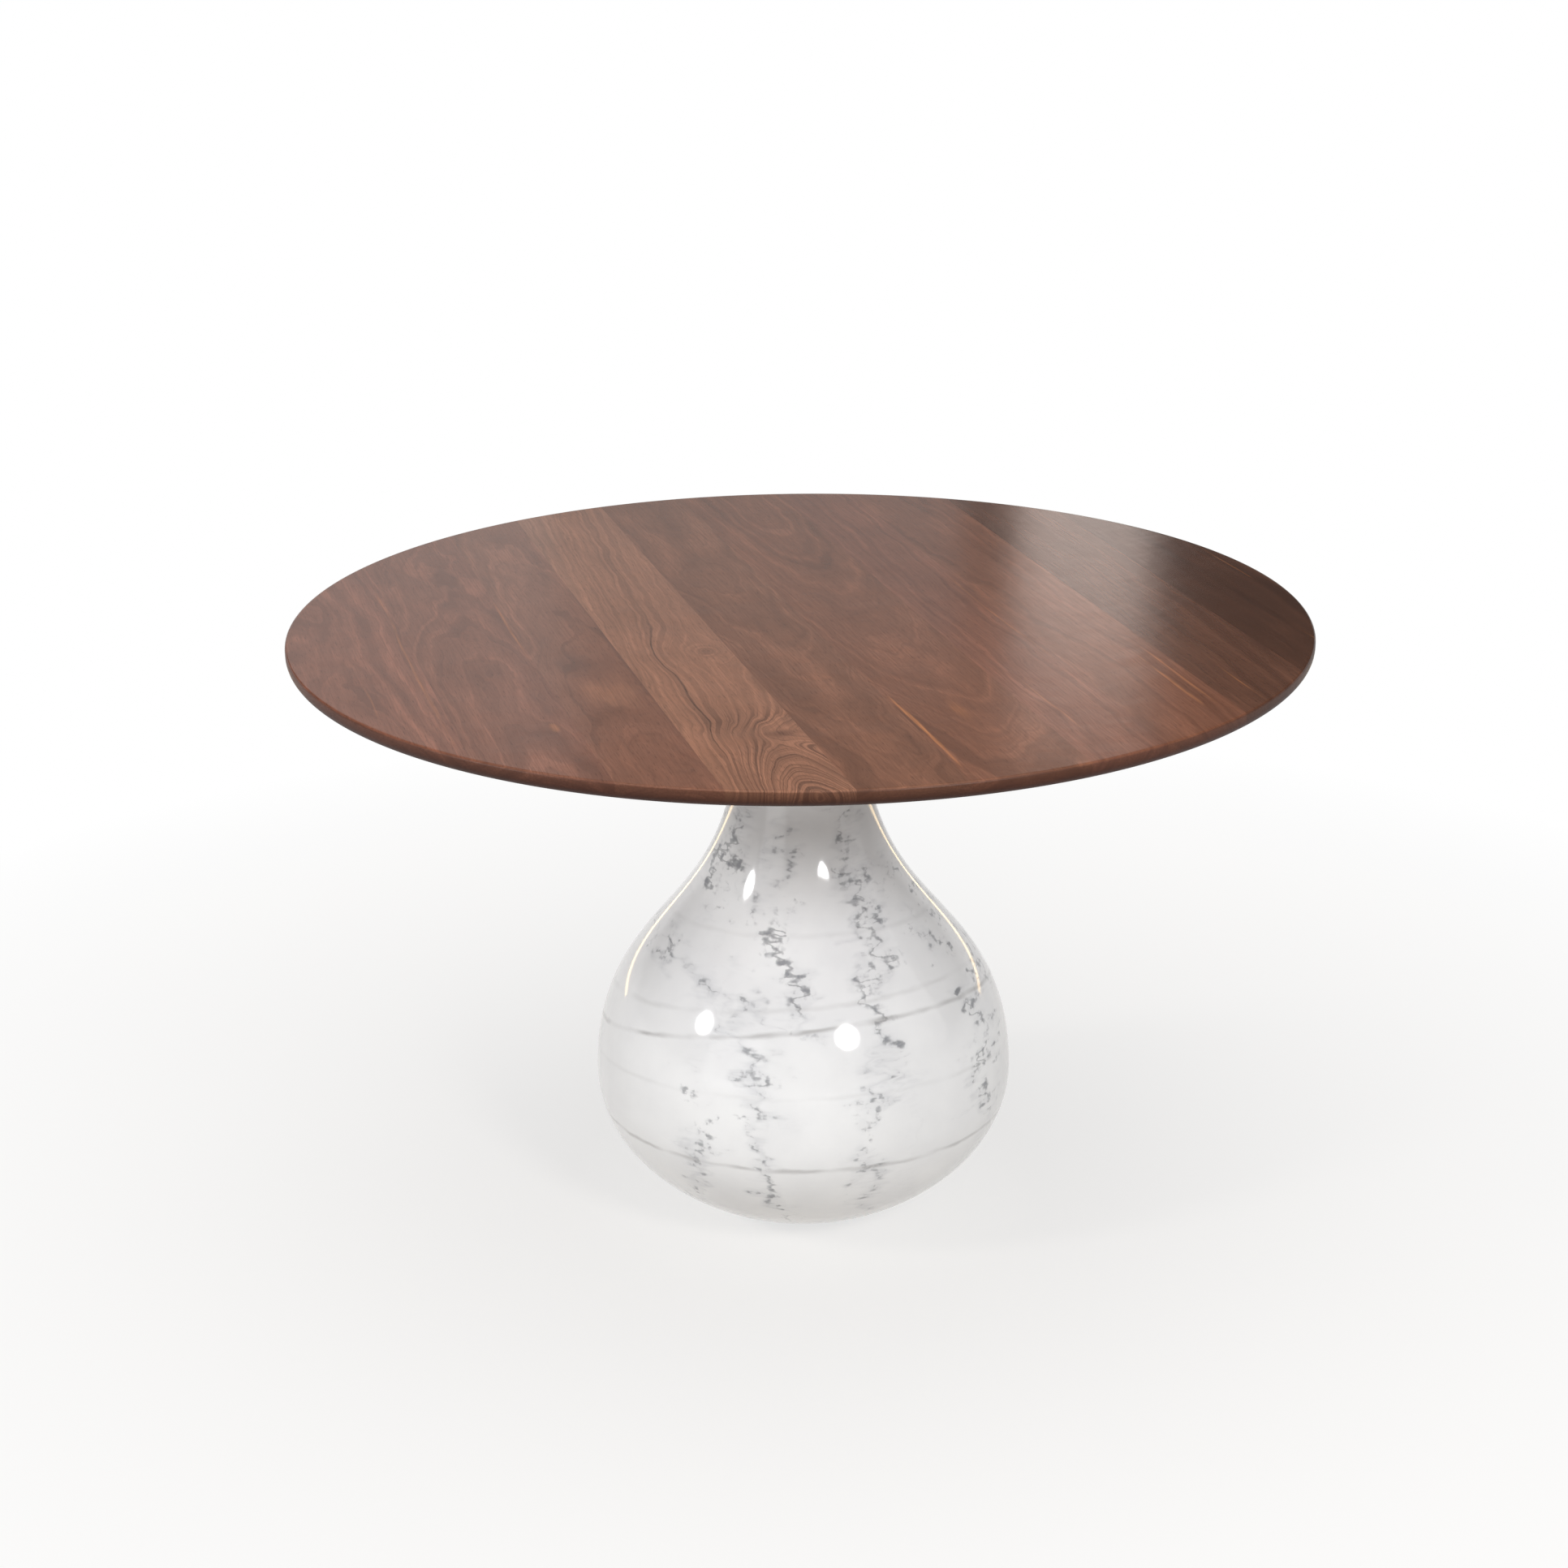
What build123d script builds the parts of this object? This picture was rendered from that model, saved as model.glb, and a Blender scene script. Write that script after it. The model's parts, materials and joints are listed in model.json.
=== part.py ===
from build123d import *
import math
import os

# A round walnut table whose top tips up on an offset hinge above a turned marble pedestal.
# Millimetres. The origin is on the floor under the middle of the pedestal, +Z is up, +Y runs along
# the grain of the boards and the hinge line, and the +X side of the top swings down when it tips.

# Round top of edge-glued boards
table_height = 750
top_radius = 600
top_thickness = 30
rim_round = 3
rim_round_flats = 3
rim_flat = 5
rim_under_radius = 10.5
rim_bevel_angle = 19

# Glue lines between the boards, across the grain from the middle of the top, as shares of its radius
board_seam_shares = [-0.765, -0.557, -0.393, -0.187, 0.005, 0.228, 0.387, 0.583, 0.783]

# Marble drop: its radii and levels, and how far its side holds each direction past foot, belly and neck
pedestal_gap = 5
foot_radius = 114
foot_angle = 23.5
foot_spread = 146
belly_radius = 257
belly_height = 172
belly_hold_below = 23
belly_hold_above = 212
neck_radius = 75
neck_hold = 278
bore_radius = 25

# Steel plate in the marble's underside, with the levelling feet
base_plate_radius = 97
base_plate_thickness = 12
base_plate_inset = 4
gasket_thickness = 2
foot_circle_radius = 72
foot_count = 4
foot_pad_radius = 20
foot_pad_thickness = 3
foot_flange_radius = 18
foot_flange_thickness = 2.5
foot_stem_radius = 5
foot_stem_length = 46
foot_bush_radius = 8
foot_bush_flange_radius = 11
foot_bush_flange = 1

# Tie rod that clamps the two plates on the marble
tie_rod_radius = 10
tie_rod_overrun = 6
tie_nut_across_flats = 30
tie_nut_height = 16
tie_washer_radius = 18.5
tie_washer_thickness = 3

# Head plate and the two hinge arms on it
head_plate_length = 150
head_plate_overhang = 10
head_plate_thickness = 12
head_plate_corner = 20
arm_spacing = 180
arm_thickness = 16
arm_height = 36
arm_tail = 25
arm_corner = 6
arm_screw_spacing = 100
landing_pad_length = 30
landing_pad_width = 12
landing_pad_inset = 50
pad_thickness = 2
stop_pad_height = 13
stop_pad_inset = 2

# Hinge: the pin's distance from the arm's top and end, and how far the tipped top clears the belly
hinge_edge = 17
swing_clearance = 12
hinge_pin_radius = 8
hinge_pin_head_radius = 12
hinge_pin_head = 5
hinge_bush_radius = 11
hinge_bush_flange_radius = 14
hinge_bush_flange = 1
pin_washer_radius = 12
pin_washer_thickness = 1.6
circlip_radius = 11
circlip_thickness = 1.2
circlip_groove = 0.7
circlip_gap = 5
pin_overrun = 1.5

# Bearers under the boards and the steel cheeks on them. The thinned end is a share of the last board.
bearer_width = 40
bearer_height = 30
bearer_tip = 12
bearer_taper_share = 0.4
bearer_edge = 2
bearer_screw_inset = 12
cheek_thickness = 8
cheek_half_length = 45
cheek_eye_radius = 17
cheek_margin = 4
cheek_screw_row = 66
cheek_screw_count = 4
cheek_screw_reach = 12

# Turn catch under the side that lifts
latch_reach = 200
crossbar_width = 30
crossbar_height = 24
crossbar_drop = 6
crossbar_screw_spacing = 16
latch_radius = 6
latch_bush_radius = 8
latch_bush_flange_radius = 11
latch_bush_flange = 1
latch_collar_radius = 10
latch_collar = 2.5
tee_half_length = 20
tee_width = 11
tee_height = 9
tee_play = 0.5
keeper_thickness = 4
keeper_length = 60
keeper_width = 104
keeper_block_length = 68
keeper_cavity_radius = 23
keeper_cavity_depth = 18
keeper_slot_clearance = 2
keeper_screw_length_spacing = 46
keeper_screw_width_spacing = 84
latch_washer_radius = 11
latch_washer_thickness = 2
handle_hub_radius = 13
handle_hub_height = 22
handle_length = 80
handle_end_radius = 8
handle_thickness = 10
handle_edge = 2.5
handle_pin_radius = 2
latch_overrun = 4

# Screws
wood_screw_head_radius = 5
wood_screw_head = 3
wood_screw_radius = 2.5
wood_screw_bite = 16
cap_screw_head_radius = 6.5
cap_screw_head = 8
cap_screw_radius = 4
cap_screw_bite = 16
socket_across_flats = 6
socket_depth = 4
drive_across_flats = 3
drive_depth = 1.8

# Chamfer on the edges of the steel bars and plates
steel_edge = 1

# Clearances: a shaft turning in its bush, a screw in its hole, and a part dropped into a recess
running_fit = 0.05
hole_fit = 0.05
seat_fit = 1

# Levels and places that follow from the sizes above. The bearers reach out to the last glue line.
board_seams = [share * top_radius for share in board_seam_shares]
bearer_half_length = board_seams[-1]
bearer_taper = bearer_taper_share * (board_seams[-1] - board_seams[-2])
underside = table_height - top_thickness
bearer_bottom = underside - bearer_height
arm_top = bearer_bottom - pad_thickness
arm_bottom = arm_top - arm_height
head_plate_bottom = arm_bottom - head_plate_thickness
neck_top = head_plate_bottom - gasket_thickness
hinge_height = arm_top - hinge_edge
hinge_drop = underside - hinge_height
hinge_x = belly_radius + swing_clearance - hinge_drop
base_plate_bottom = pedestal_gap + base_plate_inset
base_plate_top = base_plate_bottom + base_plate_thickness
recess_top = base_plate_top + gasket_thickness
recess_radius = base_plate_radius + seat_fit
arm_inner = (arm_spacing - arm_thickness) / 2
arm_outer = arm_inner + arm_thickness
arm_middle = arm_spacing / 2
bearer_outer = arm_outer + hinge_bush_flange
bearer_inner = bearer_outer - bearer_width
cheek_outer = bearer_outer + cheek_thickness
crossbar_top = arm_top - crossbar_drop
crossbar_bottom = crossbar_top - crossbar_height
crossbar_middle = (crossbar_top + crossbar_bottom) / 2
keeper_bottom = bearer_bottom - keeper_thickness
tee_bottom = bearer_bottom + tee_play
foot_places = [Pos(p.position) for p in PolarLocations(foot_circle_radius, foot_count, 180 / foot_count)]
middle_low = (Align.CENTER, Align.CENTER, Align.MIN)


def turned(outline):
    """Solid of revolution about the table's middle line, from an outline in radius and height."""
    return revolve(Plane.XZ * make_face(outline.edges()), Axis.Z)


def post(radius, low, high):
    """Upright cylinder on the middle line between two levels."""
    return Pos(0, 0, low) * Cylinder(radius, high - low, align=middle_low)


def ring(radius, bore, low, high):
    """Upright ring on the middle line between two levels."""
    return post(radius, low, high) - post(bore, low, high)


def block(x_range, y_range, z_range):
    """Box between two values along each axis."""
    sizes = [high - low for low, high in (x_range, y_range, z_range)]
    corner = [low for low, high in (x_range, y_range, z_range)]
    return Pos(*corner) * Box(*sizes, align=(Align.MIN, Align.MIN, Align.MIN))


def front_side(x, z):
    """Placement on the front half whose own Z runs outwards, along -Y, from the middle plane."""
    return Location(Plane(origin=(x, 0, z), x_dir=(1, 0, 0), z_dir=(0, -1, 0)))


def front_bar(face, inner, outer):
    """Piece on the front half from an outline in X and Z, between two distances from the middle plane."""
    return Pos(0, -inner, 0) * extrude(Plane.XZ * face, outer - inner, dir=(0, -1, 0))


def rear(solid):
    """The matching piece on the back half."""
    return mirror(solid, about=Plane.XZ)


def hexagon(across_flats, low, high):
    """Upright hexagonal prism on the middle line between two levels."""
    outline = RegularPolygon(across_flats / 2, 6, major_radius=False)
    return Pos(0, 0, low) * extrude(outline, high - low)


def wood_screw(length):
    """Countersunk screw with its flat head at the origin and its point up along +Z."""
    head = Cone(wood_screw_head_radius, wood_screw_radius, wood_screw_head, align=middle_low)
    shank = post(wood_screw_radius, 0, length)
    return head + shank - hexagon(drive_across_flats, 0, drive_depth)


def wood_screw_hole(length):
    """Room for a countersunk screw, larger all round by the hole's fit."""
    head_radius = wood_screw_head_radius + hole_fit
    shank_radius = wood_screw_radius + hole_fit
    head = Cone(head_radius, shank_radius, wood_screw_head, align=middle_low)
    return head + post(shank_radius, 0, length + hole_fit)


def cap_screw(length):
    """Socket cap screw whose head bears at the origin and whose shank runs up along +Z."""
    head = post(cap_screw_head_radius, -cap_screw_head, 0)
    head = chamfer(head.edges().group_by(Axis.Z)[0], steel_edge)
    socket = hexagon(socket_across_flats, -cap_screw_head, socket_depth - cap_screw_head)
    return head - socket + post(cap_screw_radius, 0, length)


def cap_screw_hole(length):
    """Room for a cap screw's shank."""
    return post(cap_screw_radius + hole_fit, 0, length + hole_fit)


def eased(solid, axis, edge):
    """The solid with the outlines of its first and last faces along an axis chamfered."""
    faces = solid.faces().sort_by(axis)
    return chamfer(faces[0].edges() + faces[-1].edges(), edge)


def save(node, *solids):
    """Write one piece, or one group of like pieces, under its own name."""
    shape = solids[0] if len(solids) == 1 else Compound(list(solids))
    shape.label = node
    export_step(shape, f"parts/{node}.step")


os.makedirs("parts", exist_ok=True)

# Places of the wood screws: one through each bearer into every board but the two outermost, and four
# through the keeper plate and its block.
board_edges = [-2 * top_radius, *board_seams, 2 * top_radius]
board_spans = list(zip(board_edges[:-1], board_edges[1:]))
bearer_screw_y = bearer_inner + bearer_screw_inset
board_middles = [(left + right) / 2 for left, right in board_spans]
bearer_screw_places = [
    Pos(x, side * bearer_screw_y, bearer_bottom)
    for x in board_middles[1:-1]
    for side in (-1, 1)
]
keeper_screw_places = [
    Pos(x - latch_reach, y, keeper_bottom)
    for x in (-keeper_screw_length_spacing / 2, keeper_screw_length_spacing / 2)
    for y in (-keeper_screw_width_spacing / 2, keeper_screw_width_spacing / 2)
]
bearer_screw_length = bearer_height + wood_screw_bite
keeper_screw_length = keeper_thickness + bearer_height + wood_screw_bite
bearer_screws = [place * wood_screw(bearer_screw_length) for place in bearer_screw_places]
bearer_screw_holes = [place * wood_screw_hole(bearer_screw_length) for place in bearer_screw_places]
keeper_screws = [place * wood_screw(keeper_screw_length) for place in keeper_screw_places]
keeper_screw_holes = [place * wood_screw_hole(keeper_screw_length) for place in keeper_screw_places]
save("bearer_screws", *bearer_screws)
save("keeper_screws", *keeper_screws)

# Walnut boards: a disc with its arris eased in narrow flats, a short upright band, a rounded lower edge
# and a long bevel back to the underside, sawn along the glue lines.
flat_low = table_height - rim_round - rim_flat
round_centre = Vector(top_radius - rim_round, table_height - rim_round)
round_points = [
    round_centre + Vector(0, rim_round).rotate(Axis.Z, -90 * step / rim_round_flats)
    for step in range(rim_round_flats + 1)
]
under_centre = (top_radius - rim_under_radius, flat_low)
under_arc = CenterArc(under_centre, rim_under_radius, 0, rim_bevel_angle - 90)
bevel_start = under_arc @ 1
bevel_run = (bevel_start.Y - underside) / math.tan(math.radians(rim_bevel_angle))
bevel_end = (bevel_start.X - bevel_run, underside)
top_outline = (
    Polyline(bevel_start, bevel_end, (0, underside), (0, table_height), *round_points, under_arc @ 0)
    + under_arc
)
top_disc = turned(top_outline)
for number, (left, right) in enumerate(board_spans, start=1):
    slab = block((left, right), (-2 * top_radius, 2 * top_radius), (0, 2 * table_height))
    board = top_disc & slab
    for hole in bearer_screw_holes + keeper_screw_holes:
        board -= hole
    save(f"top_board_{number}", board)

# Bearers: two hardwood bars across the grain, thinned towards their tips, screwed up into the boards.
# Their outer faces stand a bush flange outside the arms, and the cheeks are screwed to those faces.
taper_start = bearer_half_length - bearer_taper
bearer_outline = Polygon(
    (-taper_start, bearer_bottom),
    (taper_start, bearer_bottom),
    (bearer_half_length, underside - bearer_tip),
    (bearer_half_length, underside),
    (-bearer_half_length, underside),
    (-bearer_half_length, underside - bearer_tip),
    align=None,
)
bearer = front_bar(bearer_outline, bearer_inner, bearer_outer)
bearer_sides = bearer.faces().sort_by(Axis.Y)
bearer_arrises = [
    edge
    for edge in bearer_sides[0].edges() + bearer_sides[-1].edges()
    if edge.center().Z < underside - bearer_tip
]
bearer = chamfer(bearer_arrises, bearer_edge)
cheek_top = underside - cheek_margin
cheek_low = bearer_bottom + cheek_margin
cheek_screw_height = (cheek_top + cheek_low) / 2
cheek_screw_length = cheek_thickness + cheek_screw_reach
cheek_screw_step = cheek_screw_row / (cheek_screw_count - 1)
cheek_screw_start = hinge_x - cheek_screw_row / 2
cheek_screw_xs = [cheek_screw_start + number * cheek_screw_step for number in range(cheek_screw_count)]
cheek_screw_places = [
    Location(Plane(origin=(x, -cheek_outer, cheek_screw_height), x_dir=(1, 0, 0), z_dir=(0, 1, 0)))
    for x in cheek_screw_xs
]
cheek_screws = [place * wood_screw(cheek_screw_length) for place in cheek_screw_places]
cheek_screw_holes = [place * wood_screw_hole(cheek_screw_length) for place in cheek_screw_places]
for hole in bearer_screw_holes + cheek_screw_holes:
    bearer -= hole
save("bearer_front", bearer)
save("bearer_back", rear(bearer))
save("cheek_screws", *cheek_screws, *[rear(screw) for screw in cheek_screws])

# Hinge cheeks: steel plates on the bearers' outer faces that hang down to an eye for the pin.
cheek_outline = Polygon(
    (hinge_x - cheek_eye_radius, hinge_height),
    (hinge_x + cheek_eye_radius, hinge_height),
    (hinge_x + cheek_half_length, cheek_low),
    (hinge_x + cheek_half_length, cheek_top),
    (hinge_x - cheek_half_length, cheek_top),
    (hinge_x - cheek_half_length, cheek_low),
    align=None,
)
cheek_face = cheek_outline + Pos(hinge_x, hinge_height) * Circle(cheek_eye_radius)
cheek = front_bar(cheek_face, bearer_outer, cheek_outer)
cheek = chamfer(cheek.faces().sort_by(Axis.Y)[0].edges(), steel_edge)
hinge_line = front_side(hinge_x, hinge_height)
cheek -= hinge_line * post(hinge_pin_radius + hole_fit, bearer_inner, cheek_outer)
for hole in cheek_screw_holes:
    cheek -= hole
save("hinge_cheek_front", cheek)
save("hinge_cheek_back", rear(cheek))

# Hinge pins: headed steel pins through cheek and bush, each kept by a washer and a circlip in a groove.
washer_inner = arm_inner - pin_washer_thickness
groove_inner = washer_inner - circlip_thickness
pin_inner = groove_inner - pin_overrun
groove_radius = hinge_pin_radius - circlip_groove
pin = post(hinge_pin_radius, pin_inner, cheek_outer)
pin += post(hinge_pin_head_radius, cheek_outer, cheek_outer + hinge_pin_head)
pin_ends = pin.edges().group_by(Axis.Z)
pin = chamfer(pin_ends[0] + pin_ends[-1], steel_edge)
pin -= ring(2 * hinge_pin_radius, groove_radius, groove_inner, washer_inner)
pin = hinge_line * pin
washer = hinge_line * ring(pin_washer_radius, hinge_pin_radius + hole_fit, washer_inner, arm_inner)
clip = ring(circlip_radius, groove_radius, groove_inner, washer_inner)
gap_half = circlip_gap / 2
clip -= block((0, 2 * circlip_radius), (-gap_half, gap_half), (groove_inner, washer_inner))
clip = hinge_line * clip
save("hinge_pin_front", pin)
save("hinge_pin_back", rear(pin))
save("pin_washers", washer, rear(washer))
save("pin_circlips", clip, rear(clip))

# Keeper: a hardwood block between the bearers, hollowed for the catch, closed below by a slotted plate.
block_half = keeper_block_length / 2
plate_half = keeper_length / 2
latch_line = Pos(-latch_reach, 0, 0)
keeper_block = latch_line * block(
    (-block_half, block_half), (-bearer_inner, bearer_inner), (bearer_bottom, underside)
)
keeper_block -= latch_line * post(
    keeper_cavity_radius, bearer_bottom, bearer_bottom + keeper_cavity_depth
)
keeper_plate = latch_line * block(
    (-plate_half, plate_half), (-keeper_width / 2, keeper_width / 2), (keeper_bottom, bearer_bottom)
)
slot_half_width = tee_width / 2 + keeper_slot_clearance
slot_half_length = tee_half_length + keeper_slot_clearance
keeper_plate -= latch_line * block(
    (-slot_half_width, slot_half_width),
    (-slot_half_length, slot_half_length),
    (keeper_bottom, bearer_bottom),
)
for hole in keeper_screw_holes:
    keeper_block -= hole
    keeper_plate -= hole
save("keeper_block", keeper_block)
save("keeper_plate", keeper_plate)

# Pedestal: one solid turned drop of marble, bored for the tie rod, recessed below for the base plate
# and drilled above each foot for its stem.
stem_low = foot_pad_thickness + foot_flange_thickness
stem_top = stem_low + foot_stem_length
foot_edge = Vector(foot_radius, pedestal_gap)
flare = Bezier(
    foot_edge,
    foot_edge + Vector(foot_spread, 0).rotate(Axis.Z, foot_angle),
    (belly_radius, belly_height - belly_hold_below),
    (belly_radius, belly_height),
)
shoulder = Bezier(
    (belly_radius, belly_height),
    (belly_radius, belly_height + belly_hold_above),
    (neck_radius, neck_top - neck_hold),
    (neck_radius, neck_top),
)
pedestal_inside = Polyline(
    (neck_radius, neck_top),
    (bore_radius, neck_top),
    (bore_radius, recess_top),
    (recess_radius, recess_top),
    (recess_radius, pedestal_gap),
    (foot_radius, pedestal_gap),
)
pedestal = turned(flare + shoulder + pedestal_inside)
stem_room_radius = foot_stem_radius + seat_fit
for place in foot_places:
    pedestal -= place * post(stem_room_radius, recess_top, stem_top + seat_fit)
save("pedestal", pedestal)

# Base plate and its gasket: the steel disc that takes the pull of the tie rod and carries the feet.
base_plate = ring(base_plate_radius, tie_rod_radius + hole_fit, base_plate_bottom, base_plate_top)
base_gasket = ring(base_plate_radius, bore_radius, base_plate_top, recess_top)
for place in foot_places:
    base_plate -= place * post(foot_bush_radius, base_plate_bottom, base_plate_top)
    base_gasket -= place * post(stem_room_radius, base_plate_top, recess_top)
save("base_plate", base_plate)
save("base_gasket", base_gasket)

# Levelling feet: a screwed stem with a round flange in a flanged bush, on a soft glide pad.
bush_low = base_plate_bottom - foot_bush_flange
foot_bush = post(foot_bush_radius, base_plate_bottom, base_plate_top)
foot_bush += post(foot_bush_flange_radius, bush_low, base_plate_bottom)
foot_bush -= post(foot_stem_radius + running_fit, bush_low, base_plate_top)
foot_stem = post(foot_flange_radius, foot_pad_thickness, stem_low)
foot_stem += post(foot_stem_radius, stem_low, stem_top)
foot_pad = post(foot_pad_radius, 0, foot_pad_thickness)
save("foot_bushes", *[place * foot_bush for place in foot_places])
for number, place in enumerate(foot_places, start=1):
    save(f"foot_stem_{number}", place * foot_stem)
    save(f"foot_pad_{number}", place * foot_pad)

# Tie rod with a lock nut on the base plate, and a washer and nut on the head plate.
washer_top = arm_bottom + tie_washer_thickness
upper_nut_top = washer_top + tie_nut_height
tie_hole = post(tie_rod_radius + hole_fit, 0, table_height)
lower_nut = hexagon(tie_nut_across_flats, base_plate_top, base_plate_top + tie_nut_height)
upper_nut = hexagon(tie_nut_across_flats, washer_top, upper_nut_top)
tie_rod = post(tie_rod_radius, base_plate_bottom, upper_nut_top + tie_rod_overrun)
save("tie_rod", eased(tie_rod, Axis.Z, steel_edge))
save("tie_rod_nuts", lower_nut - tie_hole, upper_nut - tie_hole)
save("tie_rod_washer", post(tie_washer_radius, arm_bottom, washer_top) - tie_hole)

# Head plate on its gasket: a rounded steel plate that overhangs the neck to carry the arms.
head_plate_width = 2 * (arm_outer + head_plate_overhang)
head_plate_face = RectangleRounded(head_plate_length, head_plate_width, head_plate_corner)
head_plate = Pos(0, 0, head_plate_bottom) * extrude(head_plate_face, head_plate_thickness)
head_plate = eased(head_plate, Axis.Z, steel_edge)
arm_screw_places = [
    Pos(x, -arm_middle, head_plate_bottom) for x in (-arm_screw_spacing / 2, arm_screw_spacing / 2)
]
arm_screw_length = head_plate_thickness + cap_screw_bite
arm_screws = [place * cap_screw(arm_screw_length) for place in arm_screw_places]
arm_screw_holes = [place * cap_screw_hole(arm_screw_length) for place in arm_screw_places]
head_plate -= tie_hole
for hole in arm_screw_holes:
    head_plate -= hole
    head_plate -= rear(hole)
save("head_plate", head_plate)
save("head_gasket", ring(neck_radius, bore_radius, neck_top, head_plate_bottom))
save("arm_screws", *arm_screws, *[rear(screw) for screw in arm_screws])

# Hinge arms: flat steel bars on edge. The upper corner at the hinge is rounded about the pin, and the
# square heel below it takes the bearer when the top hangs upright.
arm_start = -latch_reach - arm_tail
arm_end = hinge_x + hinge_edge
arm_face = Polygon(
    (arm_start, arm_bottom), (arm_end, arm_bottom), (arm_end, arm_top), (arm_start, arm_top), align=None
)
arm_corners = arm_face.vertices().sort_by(Axis.X)
hinge_corner = arm_corners[2:].sort_by(Axis.Y)[-1]
arm_face = fillet(hinge_corner, hinge_edge)
arm_face = fillet(arm_face.vertices().group_by(Axis.X)[0], arm_corner)
arm = eased(front_bar(arm_face, arm_inner, arm_outer), Axis.Y, steel_edge)
arm -= hinge_line * post(hinge_bush_radius, arm_inner, arm_outer)
crossbar_screw_places = [
    Location(Plane(origin=(x, -arm_outer, crossbar_middle), x_dir=(1, 0, 0), z_dir=(0, 1, 0)))
    for x in (-latch_reach - crossbar_screw_spacing / 2, -latch_reach + crossbar_screw_spacing / 2)
]
crossbar_screw_length = arm_thickness + cap_screw_bite
crossbar_screws = [place * cap_screw(crossbar_screw_length) for place in crossbar_screw_places]
crossbar_screw_holes = [
    place * cap_screw_hole(crossbar_screw_length) for place in crossbar_screw_places
]
for hole in arm_screw_holes + crossbar_screw_holes:
    arm -= hole
save("hinge_arm_front", arm)
save("hinge_arm_back", rear(arm))
save("crossbar_screws", *crossbar_screws, *[rear(screw) for screw in crossbar_screws])

# Hinge bushes: flanged bronze bushes pressed into the arms, with the flange between arm and cheek.
hinge_bush = post(hinge_bush_radius, arm_inner, arm_outer)
hinge_bush += post(hinge_bush_flange_radius, arm_outer, bearer_outer)
hinge_bush -= post(hinge_pin_radius + running_fit, arm_inner, bearer_outer)
hinge_bush = hinge_line * hinge_bush
save("hinge_bush_front", hinge_bush)
save("hinge_bush_back", rear(hinge_bush))

# Rubber pads: on the arms' upper edges for the top to land on, and on their heels for it to hang against.
pad_y = (-arm_middle - landing_pad_width / 2, -arm_middle + landing_pad_width / 2)
landing_start = arm_start + landing_pad_inset
landing_pad = block((landing_start, landing_start + landing_pad_length), pad_y, (arm_top, bearer_bottom))
stop_low = arm_bottom + stop_pad_inset
stop_pad = block((arm_end, arm_end + pad_thickness), pad_y, (stop_low, stop_low + stop_pad_height))
save("landing_pads", landing_pad, rear(landing_pad))
save("stop_pads", stop_pad, rear(stop_pad))

# Crossbar between the arms' free ends, with a bronze bush for the catch.
bar_half = crossbar_width / 2
crossbar = latch_line * block(
    (-bar_half, bar_half), (-arm_inner, arm_inner), (crossbar_bottom, crossbar_top)
)
crossbar = chamfer(crossbar.edges().filter_by(Axis.Y), steel_edge)
crossbar -= latch_line * post(latch_bush_radius, crossbar_bottom, crossbar_top)
for hole in crossbar_screw_holes:
    crossbar -= hole
    crossbar -= rear(hole)
latch_bush_top = crossbar_top + latch_bush_flange
latch_bush = post(latch_bush_radius, crossbar_bottom, crossbar_top)
latch_bush += post(latch_bush_flange_radius, crossbar_top, latch_bush_top)
latch_bush -= post(latch_radius + running_fit, crossbar_bottom, latch_bush_top)
save("crossbar", crossbar)
save("latch_bush", latch_line * latch_bush)

# Turn catch: a spindle with a collar on the bush and a tee head in the keeper, and below the bar a
# thrust washer and a cranked handle pinned on the spindle. It stands turned to let the top go.
washer_low = crossbar_bottom - latch_washer_thickness
hub_low = washer_low - handle_hub_height
handle_pin_height = hub_low + handle_thickness / 2
tee_half_width = tee_width / 2
tee = block(
    (-tee_half_width, tee_half_width),
    (-tee_half_length, tee_half_length),
    (tee_bottom, tee_bottom + tee_height),
)
tee &= post(tee_half_length, tee_bottom, tee_bottom + tee_height)
spindle = post(latch_radius, hub_low - latch_overrun, tee_bottom) + tee
spindle += post(latch_collar_radius, latch_bush_top, latch_bush_top + latch_collar)
spindle = chamfer(spindle.edges().group_by(Axis.Z)[0], steel_edge)
handle_pin = front_side(0, handle_pin_height) * post(
    handle_pin_radius, -handle_hub_radius, handle_hub_radius
)
handle_pin = Rot(0, 0, 90) * handle_pin
handle_pin_hole = front_side(0, handle_pin_height) * post(
    handle_pin_radius + hole_fit, -handle_hub_radius, handle_hub_radius
)
handle_pin_hole = Rot(0, 0, 90) * handle_pin_hole
handle_face = Rot(0, 0, 90) * SlotCenterToCenter(handle_length, 2 * handle_end_radius)
handle = extrude(handle_face, handle_thickness)
handle = fillet(handle.edges().group_by(Axis.Z)[0] + handle.edges().group_by(Axis.Z)[-1], handle_edge)
handle = Pos(0, handle_length / 2, hub_low) * handle + post(handle_hub_radius, hub_low, washer_low)
handle -= post(latch_radius + hole_fit, hub_low, washer_low)
latch_washer = ring(latch_washer_radius, latch_radius + hole_fit, washer_low, crossbar_bottom)
save("latch_spindle", latch_line * (spindle - handle_pin_hole))
save("latch_handle", latch_line * (handle - handle_pin_hole))
save("latch_pin", latch_line * handle_pin)
save("latch_washer", latch_line * latch_washer)
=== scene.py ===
import json
import math

import bpy
from mathutils import Matrix, Vector

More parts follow.
